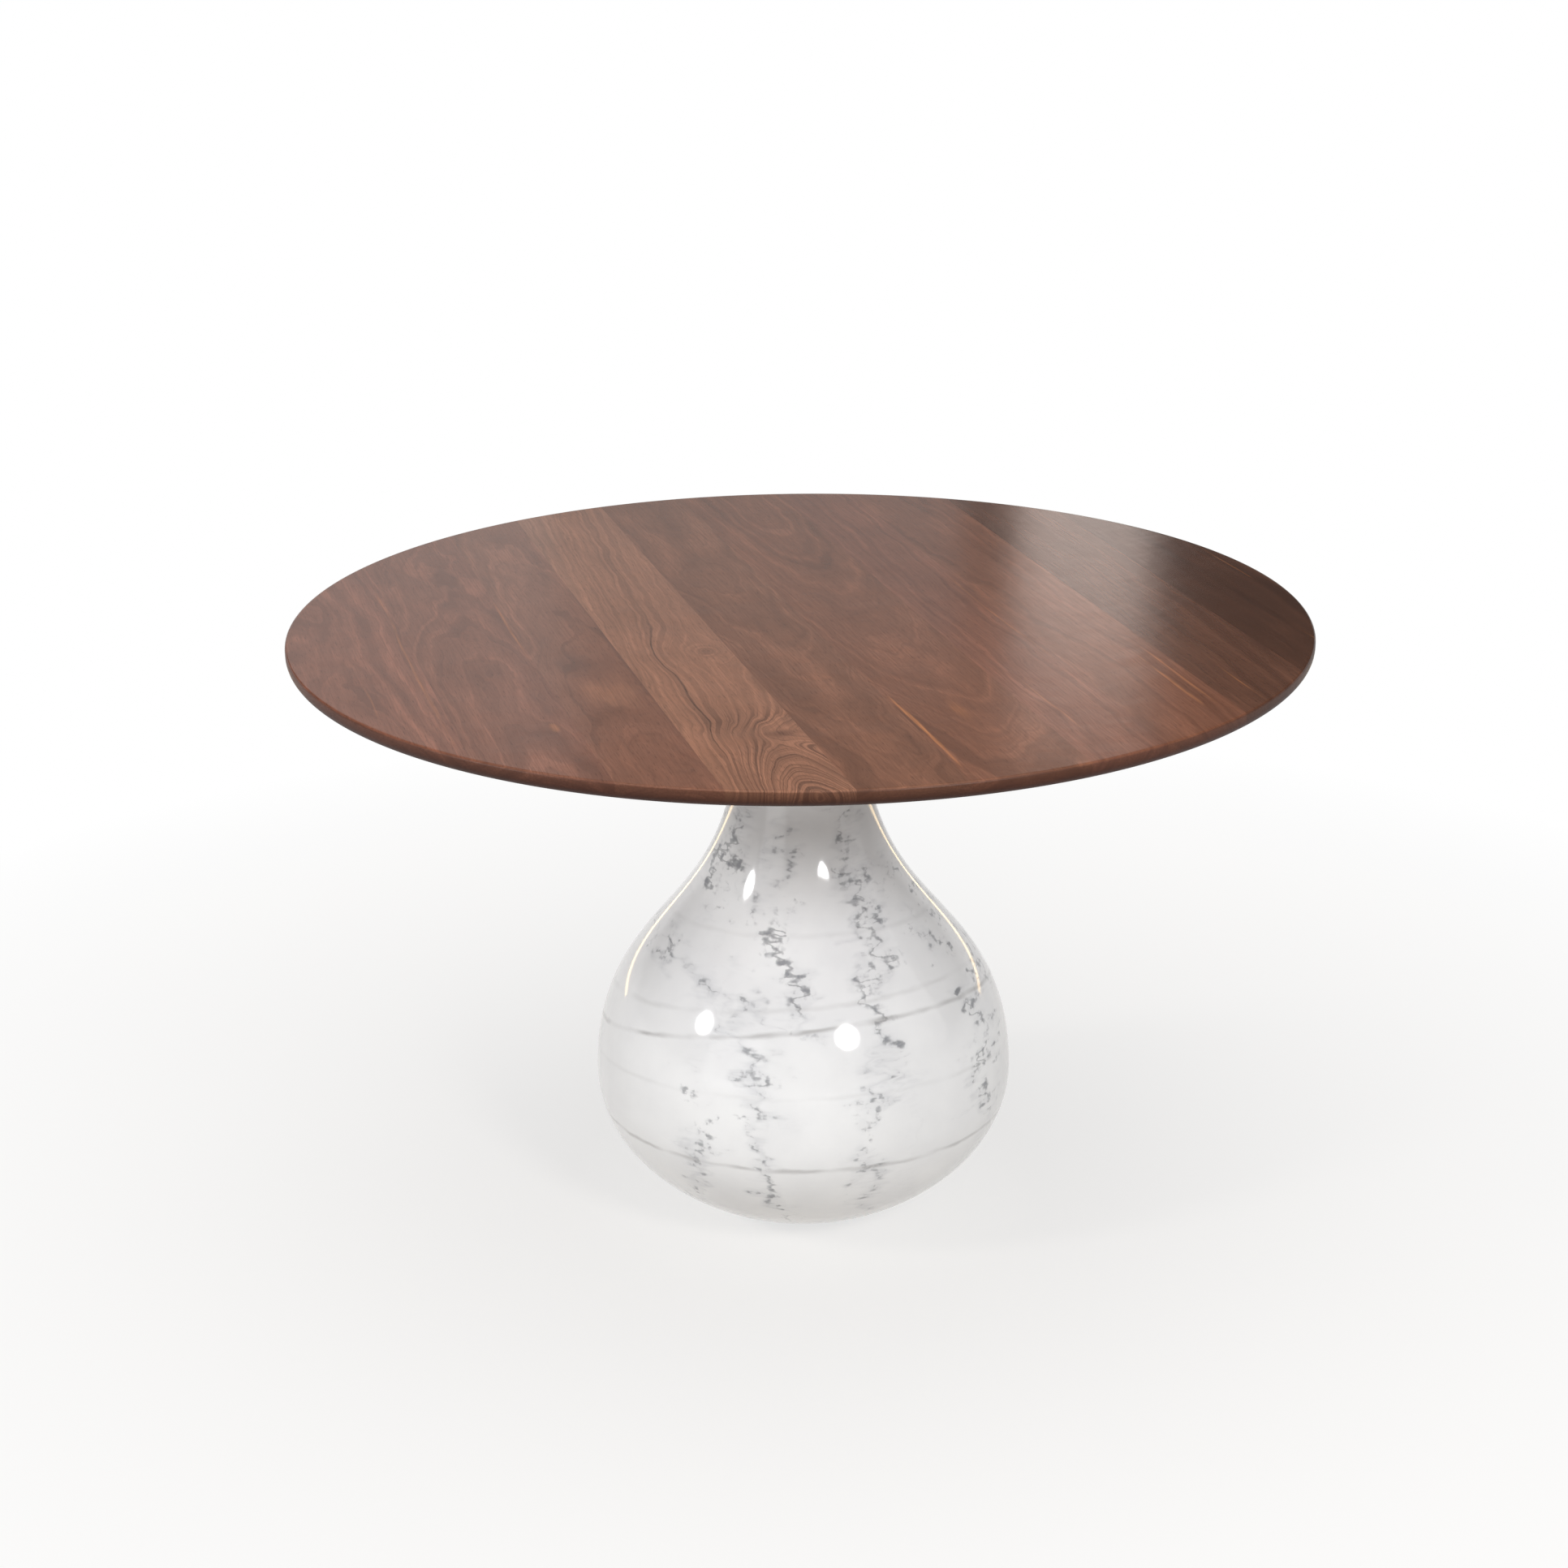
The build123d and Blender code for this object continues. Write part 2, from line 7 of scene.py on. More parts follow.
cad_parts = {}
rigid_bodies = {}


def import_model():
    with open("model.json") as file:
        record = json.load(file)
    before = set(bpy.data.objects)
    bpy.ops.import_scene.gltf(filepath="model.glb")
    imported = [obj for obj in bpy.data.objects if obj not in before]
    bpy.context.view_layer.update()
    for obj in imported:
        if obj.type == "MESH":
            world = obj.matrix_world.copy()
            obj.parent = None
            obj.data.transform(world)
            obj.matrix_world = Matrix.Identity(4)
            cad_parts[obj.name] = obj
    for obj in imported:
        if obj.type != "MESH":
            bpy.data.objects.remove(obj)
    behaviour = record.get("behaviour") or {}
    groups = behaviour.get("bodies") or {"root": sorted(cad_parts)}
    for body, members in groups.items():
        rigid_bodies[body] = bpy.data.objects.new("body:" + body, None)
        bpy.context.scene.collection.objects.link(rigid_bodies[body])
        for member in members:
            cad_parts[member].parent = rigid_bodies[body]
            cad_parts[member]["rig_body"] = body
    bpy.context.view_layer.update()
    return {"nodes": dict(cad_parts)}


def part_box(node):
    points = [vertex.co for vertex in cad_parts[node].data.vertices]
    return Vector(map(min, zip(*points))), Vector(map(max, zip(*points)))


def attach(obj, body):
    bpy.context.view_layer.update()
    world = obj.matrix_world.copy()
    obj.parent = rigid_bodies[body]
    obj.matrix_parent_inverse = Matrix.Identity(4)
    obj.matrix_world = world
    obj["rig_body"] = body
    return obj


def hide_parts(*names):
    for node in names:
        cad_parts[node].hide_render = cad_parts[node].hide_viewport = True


# A round walnut table whose top tips up on a turned marble pedestal. Metres, in the frame of its solids:
# +Y runs along the boards and the hinge line, and the +X side of the top swings down when it tips.
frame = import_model()
mm = 0.001


# Levelling feet: four screwed stems in flanged bushes let into the base plate, each on a glide pad.
# The stems are zinc-plated steel, the bushes turned bronze, and the pads moulded nylon pushed on below.
def colour(code):
    """An sRGB hex value as linear red, green, blue and alpha."""
    shares = [int(code[start:start + 2], 16) / 255 for start in (1, 3, 5)]
    return [s / 12.92 if s <= 0.04045 else ((s + 0.055) / 1.055) ** 2.4 for s in shares] + [1]


def add(owner, kind, sockets=None, **settings):
    """One node with its settings, and with each named socket given a value or a link."""
    made = owner.node_tree.nodes.new(kind)
    for name, value in settings.items():
        setattr(made, name, value)
    for socket, value in (sockets or {}).items():
        if isinstance(value, bpy.types.NodeSocket):
            owner.node_tree.links.new(value, made.inputs[socket])
        else:
            made.inputs[socket].default_value = value
    return made


def new_finish(name):
    """A new material, its surface shader and the place of each point in the table's frame."""
    made = bpy.data.materials.new(name)
    made.use_nodes = True
    place = add(made, "ShaderNodeTexCoord").outputs["Object"]
    return made, made.node_tree.nodes["Principled BSDF"], place


def pick_up(piece):
    """Select one piece and nothing else."""
    bpy.ops.object.select_all(action="DESELECT")
    piece.select_set(True)
    bpy.context.view_layer.objects.active = piece


def finished(node, finish):
    """A piece of ironmongery or timber: the solid with its round faces smooth and its finish on."""
    piece = bpy.data.objects.new(f"{node}_finished", frame["nodes"][node].data.copy())
    bpy.context.scene.collection.objects.link(piece)
    pick_up(piece)
    bpy.ops.mesh.customdata_custom_splitnormals_clear()
    bpy.ops.object.mode_set(mode="EDIT")
    bpy.ops.mesh.select_all(action="SELECT")
    bpy.ops.mesh.remove_doubles(threshold=0.005 * mm)
    bpy.ops.object.mode_set(mode="OBJECT")
    bpy.ops.object.shade_smooth_by_angle(angle=math.radians(28))
    piece.data.materials.clear()
    piece.data.materials.append(finish)
    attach(piece, frame["nodes"][node]["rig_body"])
    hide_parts(node)
    return piece


# Bright zinc plate: a cool silver, clouded from the bath, with a faint straw tint in places.
zinc_plate, surface, place = new_finish("zinc_plated_steel")
zinc_cloud = add(zinc_plate, "ShaderNodeTexNoise", {"Vector": place, "Scale": 1 / (7 * mm), "Detail": 4})
zinc_tone = add(
    zinc_plate, "ShaderNodeMix",
    {0: zinc_cloud.outputs[0], 6: colour("#a9aeb4"), 7: colour("#c3bfb0")}, data_type="RGBA",
)
zinc_rough = add(zinc_plate, "ShaderNodeMapRange", {0: zinc_cloud.outputs[0], 3: 0.26, 4: 0.44})
zinc_plate.node_tree.links.new(zinc_tone.outputs[2], surface.inputs["Base Color"])
zinc_plate.node_tree.links.new(zinc_rough.outputs[0], surface.inputs["Roughness"])
surface.inputs["Metallic"].default_value = 1

# Turned bronze: warm yellow-brown, a little darker where it has begun to tarnish.
bronze, surface, place = new_finish("turned_bronze")
tarnish = add(bronze, "ShaderNodeTexNoise", {"Vector": place, "Scale": 1 / (5 * mm), "Detail": 3})
bronze_tone = add(
    bronze, "ShaderNodeMix",
    {0: tarnish.outputs[0], 6: colour("#b5844a"), 7: colour("#7d5429")}, data_type="RGBA",
)
bronze_rough = add(bronze, "ShaderNodeMapRange", {0: tarnish.outputs[0], 3: 0.24, 4: 0.42})
bronze.node_tree.links.new(bronze_tone.outputs[2], surface.inputs["Base Color"])
bronze.node_tree.links.new(bronze_rough.outputs[0], surface.inputs["Roughness"])
surface.inputs["Metallic"].default_value = 1

# Moulded nylon: off-white, faintly cloudy, with the fine grain of the mould.
nylon, surface, place = new_finish("moulded_nylon")
nylon_cloud = add(nylon, "ShaderNodeTexNoise", {"Vector": place, "Scale": 1 / (9 * mm), "Detail": 3})
nylon_tone = add(
    nylon, "ShaderNodeMix",
    {0: nylon_cloud.outputs[0], 6: colour("#cfccc2"), 7: colour("#dedbd2")}, data_type="RGBA",
)
nylon_grain = add(nylon, "ShaderNodeTexNoise", {"Vector": place, "Scale": 1 / (0.7 * mm), "Detail": 2})
nylon_bump = add(
    nylon, "ShaderNodeBump", {"Strength": 0.2, "Distance": 0.05 * mm, "Height": nylon_grain.outputs[0]}
)
nylon.node_tree.links.new(nylon_tone.outputs[2], surface.inputs["Base Color"])
nylon.node_tree.links.new(nylon_bump.outputs[0], surface.inputs["Normal"])
surface.inputs["Roughness"].default_value = 0.48
surface.inputs["IOR"].default_value = 1.53

for foot in range(1, 5):
    finished(f"foot_stem_{foot}", zinc_plate)
    finished(f"foot_pad_{foot}", nylon)
finished("foot_bushes", bronze)


# Base plate: a round steel plate on a rubber gasket in the marble's underside, carrying the four feet.
# It is laser cut, drilled and powder coated, and the tie rod draws it up against the stone.
powder_coat, surface, place = new_finish("black_powder_coat")
coat_grain = add(
    powder_coat, "ShaderNodeTexNoise", {"Vector": place, "Scale": 1 / (0.9 * mm), "Detail": 2}
)
coat_wear = add(powder_coat, "ShaderNodeTexNoise", {"Vector": place, "Scale": 1 / (40 * mm), "Detail": 4})
coat_tone = add(
    powder_coat, "ShaderNodeMix",
    {0: coat_wear.outputs[0], 6: colour("#171718"), 7: colour("#232324")}, data_type="RGBA",
)
coat_rough = add(powder_coat, "ShaderNodeMapRange", {0: coat_wear.outputs[0], 3: 0.38, 4: 0.55})
coat_bump = add(
    powder_coat, "ShaderNodeBump",
    {"Strength": 0.35, "Distance": 0.08 * mm, "Height": coat_grain.outputs[0]},
)
powder_coat.node_tree.links.new(coat_tone.outputs[2], surface.inputs["Base Color"])
powder_coat.node_tree.links.new(coat_rough.outputs[0], surface.inputs["Roughness"])
powder_coat.node_tree.links.new(coat_bump.outputs[0], surface.inputs["Normal"])

# Black rubber: dull, with the soft tooth of a moulded sheet and a little grey bloom.
rubber, surface, place = new_finish("black_rubber")
rubber_bloom = add(rubber, "ShaderNodeTexNoise", {"Vector": place, "Scale": 1 / (12 * mm), "Detail": 4})
rubber_tone = add(
    rubber, "ShaderNodeMix",
    {0: rubber_bloom.outputs[0], 6: colour("#131313"), 7: colour("#262625")}, data_type="RGBA",
)
rubber_tooth = add(rubber, "ShaderNodeTexNoise", {"Vector": place, "Scale": 1 / (0.5 * mm), "Detail": 2})
rubber_bump = add(
    rubber, "ShaderNodeBump", {"Strength": 0.4, "Distance": 0.06 * mm, "Height": rubber_tooth.outputs[0]}
)
rubber.node_tree.links.new(rubber_tone.outputs[2], surface.inputs["Base Color"])
rubber.node_tree.links.new(rubber_bump.outputs[0], surface.inputs["Normal"])
surface.inputs["Roughness"].default_value = 0.72

finished("base_plate", powder_coat)
finished("base_gasket", rubber)


# Pedestal: one drop of white marble with grey veins, a small foot, a wide belly and a long narrow neck.
# It is turned from a block on a stone lathe, bored for the tie rod, recessed below and then polished.
floor_gap = 5 * mm
foot_radius = 114 * mm
foot_spread = 146 * mm
foot_angle = math.radians(23.5)
belly_radius = 257 * mm
belly_height = 172 * mm
belly_hold_below = 23 * mm
belly_hold_above = 212 * mm
neck_radius = 75 * mm
neck_hold = 278 * mm
outline_steps = 64
turned_facets = 240
bore_radius = 25 * mm
recess_radius = 98 * mm
neck_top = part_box("pedestal")[1].z
recess_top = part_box("base_gasket")[1].z
flare = Vector((math.cos(foot_angle), 0, math.sin(foot_angle))) * foot_spread
foot_edge = Vector((foot_radius, 0, floor_gap))
belly = Vector((belly_radius, 0, belly_height))
neck = Vector((neck_radius, 0, neck_top))
upright = Vector((0, 0, 1))
outline = [
    (foot_edge - flare, foot_edge, foot_edge + flare),
    (belly - upright * belly_hold_below, belly, belly + upright * belly_hold_above),
    (neck - upright * neck_hold, neck, neck + upright * neck_hold),
]
bpy.ops.object.select_all(action="DESELECT")
bpy.ops.curve.primitive_bezier_curve_add()
pedestal = bpy.context.object
pedestal.name = "marble_pedestal"
side = pedestal.data.splines[0]
side.bezier_points.add(len(outline) - len(side.bezier_points))
side.resolution_u = outline_steps
for point, (before, at, after) in zip(side.bezier_points, outline):
    point.handle_left_type = "FREE"
    point.handle_right_type = "FREE"
    point.co = at
    point.handle_left = before
    point.handle_right = after
bpy.ops.object.convert(target="MESH")
for vertex in pedestal.data.vertices:
    vertex.select = vertex.index == len(pedestal.data.vertices) - 1
bpy.ops.object.mode_set(mode="EDIT")
bpy.ops.mesh.select_mode(type="VERT")
inside = [
    (bore_radius, neck_top), (bore_radius, recess_top), (recess_radius, recess_top),
    (recess_radius, floor_gap), (foot_radius, floor_gap),
]
here = neck
for radius, height in inside:
    there = Vector((radius, 0, height))
    bpy.ops.mesh.extrude_region_move(TRANSFORM_OT_translate={"value": there - here})
    here = there
bpy.ops.mesh.select_all(action="SELECT")
bpy.ops.mesh.spin(steps=turned_facets, angle=math.tau, center=(0, 0, 0), axis=(0, 0, 1))
bpy.ops.mesh.select_all(action="SELECT")
bpy.ops.mesh.remove_doubles(threshold=0.01 * mm)
bpy.ops.mesh.normals_make_consistent(inside=False)
bpy.ops.object.mode_set(mode="OBJECT")

# The four blind holes above the feet, drilled up from the recess.
stem_room_radius = 6 * mm
stem_room_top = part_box("foot_stem_1")[1].z + 1 * mm
drills = []
for foot in range(1, 5):
    low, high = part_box(f"foot_stem_{foot}")
    middle = (low + high) / 2
    bpy.ops.object.select_all(action="DESELECT")
    bpy.ops.mesh.primitive_cylinder_add(
        vertices=32, radius=stem_room_radius, depth=2 * (stem_room_top - recess_top),
        location=(middle.x, middle.y, recess_top),
    )
    drills.append(bpy.context.object)
for drill in drills:
    pick_up(pedestal)
    hole = pedestal.modifiers.new("stem_hole", "BOOLEAN")
    hole.operation = "DIFFERENCE"
    hole.solver = "EXACT"
    hole.object = drill
    bpy.ops.object.modifier_apply(modifier=hole.name)
    bpy.data.objects.remove(drill)
pick_up(pedestal)
bpy.ops.object.shade_smooth_by_angle(angle=math.radians(35))

# Polished white marble: a cool white with soft grey clouds, dark zigzag veins that stand nearly upright in
# the block, and soft bedding lines that lie almost level. The veins run from front to back as thin sheets.
marble, surface, place = new_finish("polished_white_marble")
view_turn = math.radians(16)
ahead = Vector((math.sin(view_turn), math.cos(view_turn), 0))
sideways = Vector((math.cos(view_turn), -math.sin(view_turn), 0))
level = add(marble, "ShaderNodeSeparateXYZ", {0: place}).outputs[2]
cloud = add(marble, "ShaderNodeTexNoise", {"Vector": place, "Scale": 1 / (90 * mm), "Detail": 5})
clot = add(marble, "ShaderNodeTexNoise", {"Vector": place, "Scale": 1 / (10 * mm), "Detail": 2})
wander = add(marble, "ShaderNodeTexNoise", {"Vector": place, "Scale": 1 / (50 * mm), "Detail": 1})
tooth_size = (1 / (42 * mm), 1 / (42 * mm), 1 / (13 * mm))
tooth_place = add(marble, "ShaderNodeMapping", {"Vector": place, "Scale": tooth_size})
tooth = add(
    marble, "ShaderNodeTexNoise",
    {"Vector": tooth_place.outputs[0], "Scale": 1, "Detail": 2, "Roughness": 0.55},
)
wander_throw = 70 * mm
tooth_throw = 105 * mm
zigzag = add(
    marble, "ShaderNodeMath",
    {0: wander.outputs[0], 1: wander_throw, 2: -(wander_throw + tooth_throw) / 2},
    operation="MULTIPLY_ADD",
)
zigzag = add(
    marble, "ShaderNodeMath", {0: tooth.outputs[0], 1: tooth_throw, 2: zigzag.outputs[0]},
    operation="MULTIPLY_ADD",
).outputs[0]

# Each vein: its lean sideways for each step up, its place at floor level, its lowest and highest point and
# how faint it is, given as millimetres that are added to each point's distance from it.
veins = [
    (-0.6, 195, 325, 440, 0), (-0.24, 172, 275, 530, 2.6), (0.2, -182, 432, 505, 0),
    (-2.7, 820, 340, 370, 2), (-0.16, -17, 60, 260, 4), (0.08, 63, 60, 280, 5),
    (-0.1, 241, 180, 335, 1), (0.03, -130, 60, 240, 6), (-0.85, 172, 270, 310, 5),
    (-0.8, 468, 350, 445, 4), (0.02, -26, 425, 510, 7),
]
vein_fade = 40
vein_gone = 25
nearest = None
for lean, start, low, high, faint in veins:
    across = (sideways - upright * lean).normalized()
    shrink = across.dot(sideways)
    off = add(marble, "ShaderNodeVectorMath", {0: place, 1: across}, operation="DOT_PRODUCT")
    off = add(marble, "ShaderNodeMath", {0: off.outputs["Value"], 1: zigzag})
    off = add(marble, "ShaderNodeMath", {0: off.outputs[0], 1: start * shrink * mm}, operation="SUBTRACT")
    off = add(marble, "ShaderNodeMath", {0: off.outputs[0]}, operation="ABSOLUTE")
    half = (high - low) / 2
    beyond = add(marble, "ShaderNodeMath", {0: level, 1: (low + high) / 2 * mm}, operation="SUBTRACT")
    beyond = add(marble, "ShaderNodeMath", {0: beyond.outputs[0]}, operation="ABSOLUTE")
    beyond = add(
        marble, "ShaderNodeMapRange",
        {0: beyond.outputs[0], 1: half * mm, 2: (half + vein_fade) * mm, 3: faint * mm, 4: vein_gone * mm},
    )
    off = add(marble, "ShaderNodeMath", {0: off.outputs[0], 1: beyond.outputs[0]}).outputs[0]
    if nearest:
        off = add(marble, "ShaderNodeMath", {0: nearest, 1: off}, operation="MINIMUM").outputs[0]
    nearest = off

# The veins are broken: stretches of clear stone part them.
parted = add(marble, "ShaderNodeTexNoise", {"Vector": place, "Scale": 1 / (38 * mm), "Detail": 1})
parted = add(
    marble, "ShaderNodeMapRange", {0: parted.outputs[0], 1: 0.4, 2: 0.52, 3: 12 * mm, 4: 0},
    interpolation_type="SMOOTHSTEP",
)
nearest = add(marble, "ShaderNodeMath", {0: nearest, 1: parted.outputs[0]}).outputs[0]

# A vein is a soft grey smoke, then clots of darker grains, then a thread that swells and thins.
cloud_share = add(marble, "ShaderNodeMapRange", {0: cloud.outputs[0], 1: 0.35, 2: 0.75})
stone = add(
    marble, "ShaderNodeMix",
    {0: cloud_share.outputs[0], 6: colour("#f5f6f7"), 7: colour("#eaebed")}, data_type="RGBA",
)
smoke = add(
    marble, "ShaderNodeMapRange", {0: nearest, 1: 0, 2: 34 * mm, 3: 0.4, 4: 0},
    interpolation_type="SMOOTHSTEP",
)
smoky = add(marble, "ShaderNodeMapRange", {0: cloud.outputs[0], 1: 0.4, 2: 0.6})
smoke = add(marble, "ShaderNodeMath", {0: smoke.outputs[0], 1: smoky.outputs[0]}, operation="MULTIPLY")
grains = add(
    marble, "ShaderNodeMapRange", {0: clot.outputs[0], 1: 0.47, 2: 0.66}, interpolation_type="SMOOTHSTEP"
)
close = add(
    marble, "ShaderNodeMapRange", {0: nearest, 1: 4 * mm, 2: 22 * mm, 3: 0.55, 4: 0},
    interpolation_type="SMOOTHSTEP",
)
grains = add(marble, "ShaderNodeMath", {0: grains.outputs[0], 1: close.outputs[0]}, operation="MULTIPLY")
reach = add(marble, "ShaderNodeMapRange", {0: clot.outputs[0], 1: 0.35, 2: 0.68, 3: 3.5 * mm, 4: 15 * mm})
thread = add(
    marble, "ShaderNodeMapRange", {0: nearest, 1: 0, 2: reach.outputs[0], 3: 0.6, 4: 0},
    interpolation_type="SMOOTHSTEP",
)
for share, tone in ((smoke, "#bfc1c6"), (grains, "#8f9197"), (thread, "#74767c")):
    stone = add(
        marble, "ShaderNodeMix", {0: share.outputs[0], 6: stone.outputs[2], 7: colour(tone)},
        data_type="RGBA",
    )

# Each bedding line: the way its plane faces, its distance from the origin and how dark it is.
bedding_lines = [
    (Vector((-0.037, 0.218, 0.975)), 260.7, 0.6), (Vector((0.017, 0.051, 0.999)), 136.1, 0.5),
    (Vector((0.02, 0.12, 0.992)), 209, 0.12), (Vector((-0.03, 0.16, 0.986)), 300, 0.16),
    (Vector((0.02, 0.1, 0.995)), 385, 0.14),
]
for facing, distance, strength in bedding_lines:
    height = add(marble, "ShaderNodeVectorMath", {0: place, 1: facing}, operation="DOT_PRODUCT")
    uneven = add(
        marble, "ShaderNodeMath", {0: tooth.outputs[0], 1: 7 * mm, 2: -(3.5 + distance) * mm},
        operation="MULTIPLY_ADD",
    )
    off = add(marble, "ShaderNodeMath", {0: height.outputs["Value"], 1: uneven.outputs[0]})
    off = add(marble, "ShaderNodeMath", {0: off.outputs[0]}, operation="ABSOLUTE")
    shown = add(
        marble, "ShaderNodeMapRange",
        {0: wander.outputs[0], 1: 0.35, 2: 0.62, 3: 0.2 * strength, 4: strength},
    )
    line = add(
        marble, "ShaderNodeMapRange", {0: off.outputs[0], 1: 0, 2: 4.5 * mm, 3: 1, 4: 0},
        interpolation_type="SMOOTHSTEP",
    )
    line = add(marble, "ShaderNodeMath", {0: line.outputs[0], 1: shown.outputs[0]}, operation="MULTIPLY")
    stone = add(
        marble, "ShaderNodeMix",
        {0: line.outputs[0], 6: stone.outputs[2], 7: colour("#9b9998")}, data_type="RGBA",
    )
polish = add(marble, "ShaderNodeMapRange", {0: cloud.outputs[0], 3: 0.05, 4: 0.11})
marble.node_tree.links.new(stone.outputs[2], surface.inputs["Base Color"])
marble.node_tree.links.new(polish.outputs[0], surface.inputs["Roughness"])
surface.inputs["IOR"].default_value = 1.49
pedestal.data.materials.clear()
pedestal.data.materials.append(marble)
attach(pedestal, "pedestal")
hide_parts("pedestal")


# Tie rod: a zinc-plated steel bar through the stone, threaded at both ends, with a lock nut on the base
# plate and a washer and nut on the head plate. It clamps stone and plates into one.
for node in ("tie_rod", "tie_rod_nuts", "tie_rod_washer"):
    finished(node, zinc_plate)


# Head plate and arms: a steel plate on a rubber gasket on the neck, with two steel bars on edge.
# Plate and bars are saw cut, eased along their edges, drilled, powder coated and screwed up from below.
for node in ("head_plate", "hinge_arm_front", "hinge_arm_back"):
    finished(node, powder_coat)
finished("head_gasket", rubber)
finished("arm_screws", zinc_plate)


# Hinge: two headed steel pins in flanged bronze bushes at the arms' ends, each kept by washer and circlip.
# The pins are ground bright and carry the cheeks, eased steel plates screwed to the bearers' outer faces.
ground_steel, surface, place = new_finish("ground_steel")
grind_lines = add(
    ground_steel, "ShaderNodeMapping",
    {"Vector": place, "Scale": (1 / (0.6 * mm), 1 / (6 * mm), 1 / (0.6 * mm))},
)
grind = add(ground_steel, "ShaderNodeTexNoise", {"Vector": grind_lines.outputs[0], "Scale": 1, "Detail": 2})
ground_tone = add(
    ground_steel, "ShaderNodeMix",
    {0: grind.outputs[0], 6: colour("#b2b3b4"), 7: colour("#cfcfce")}, data_type="RGBA",
)
ground_rough = add(ground_steel, "ShaderNodeMapRange", {0: grind.outputs[0], 3: 0.16, 4: 0.3})
ground_steel.node_tree.links.new(ground_tone.outputs[2], surface.inputs["Base Color"])
ground_steel.node_tree.links.new(ground_rough.outputs[0], surface.inputs["Roughness"])
surface.inputs["Metallic"].default_value = 1

for node in ("hinge_bush_front", "hinge_bush_back"):
    finished(node, bronze)
for node in ("hinge_pin_front", "hinge_pin_back", "pin_washers", "pin_circlips"):
    finished(node, ground_steel)
for node in ("hinge_cheek_front", "hinge_cheek_back"):
    finished(node, powder_coat)
finished("cheek_screws", zinc_plate)


# Rubber pads: strips glued on the arms' upper edges, where the top lands, and on their heels, where the
# bearers lie when the top hangs upright. They are cut from black sheet.
for node in ("landing_pads", "stop_pads"):
    finished(node, rubber)


# Turn catch: a steel crossbar between the arms' free ends with a bronze bush, and in it a ground spindle
# with a tee head above, a thrust washer and a powder-coated handle pinned on below.
finished("crossbar", powder_coat)
finished("crossbar_screws", zinc_plate)
finished("latch_bush", bronze)
for node in ("latch_spindle", "latch_washer", "latch_pin"):
    finished(node, ground_steel)
finished("latch_handle", powder_coat)


# Bearers and keeper block: solid walnut bars across the boards, oiled, with their lower edges eased.
# They are screwed up into the boards, and the block carries the slotted steel plate that the catch holds.
table_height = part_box("top_board_5")[1].z


def log_rings(finish, look, grain):
    """Each point's distance from the heart of its log, and how that heart wanders sideways."""
    across, along, up = add(finish, "ShaderNodeSeparateXYZ", {0: grain}).outputs
    seed = look["seed"]
    waver = look["waver"] * mm
    heart_across, heart_depth, lean = look["heart"]
    bend_size = (1 / (170 * mm), 1 / (360 * mm), 1 / (170 * mm))
    bend_place = add(
        finish, "ShaderNodeMapping", {"Vector": grain, "Scale": bend_size, "Location": (seed, seed, seed)}
    )
    bend = add(finish, "ShaderNodeTexNoise", {"Vector": bend_place.outputs[0], "Scale": 1, "Detail": 2})
    sway, sink = add(finish, "ShaderNodeSeparateColor", {0: bend.outputs["Color"]}).outputs[:2]
    aside = add(
        finish, "ShaderNodeMath", {0: along, 1: -look.get("slant", 0), 2: -waver - heart_across * mm},
        operation="MULTIPLY_ADD",
    )
    aside = add(
        finish, "ShaderNodeMath", {0: sway, 1: 2 * waver, 2: aside.outputs[0]}, operation="MULTIPLY_ADD"
    )
    aside = add(finish, "ShaderNodeMath", {0: across, 1: aside.outputs[0]})
    below = add(
        finish, "ShaderNodeMath", {0: along, 1: lean, 2: heart_depth * mm - table_height - waver},
        operation="MULTIPLY_ADD",
    )
    below = add(
        finish, "ShaderNodeMath", {0: sink, 1: 2 * waver, 2: below.outputs[0]}, operation="MULTIPLY_ADD"
    )
    below = add(finish, "ShaderNodeMath", {0: up, 1: below.outputs[0]})
    from_heart = add(finish, "ShaderNodeCombineXYZ", {0: aside.outputs[0], 1: below.outputs[0]})
    radius = add(finish, "ShaderNodeVectorMath", {0: from_heart.outputs[0]}, operation="LENGTH").outputs[1]
    return radius, sway


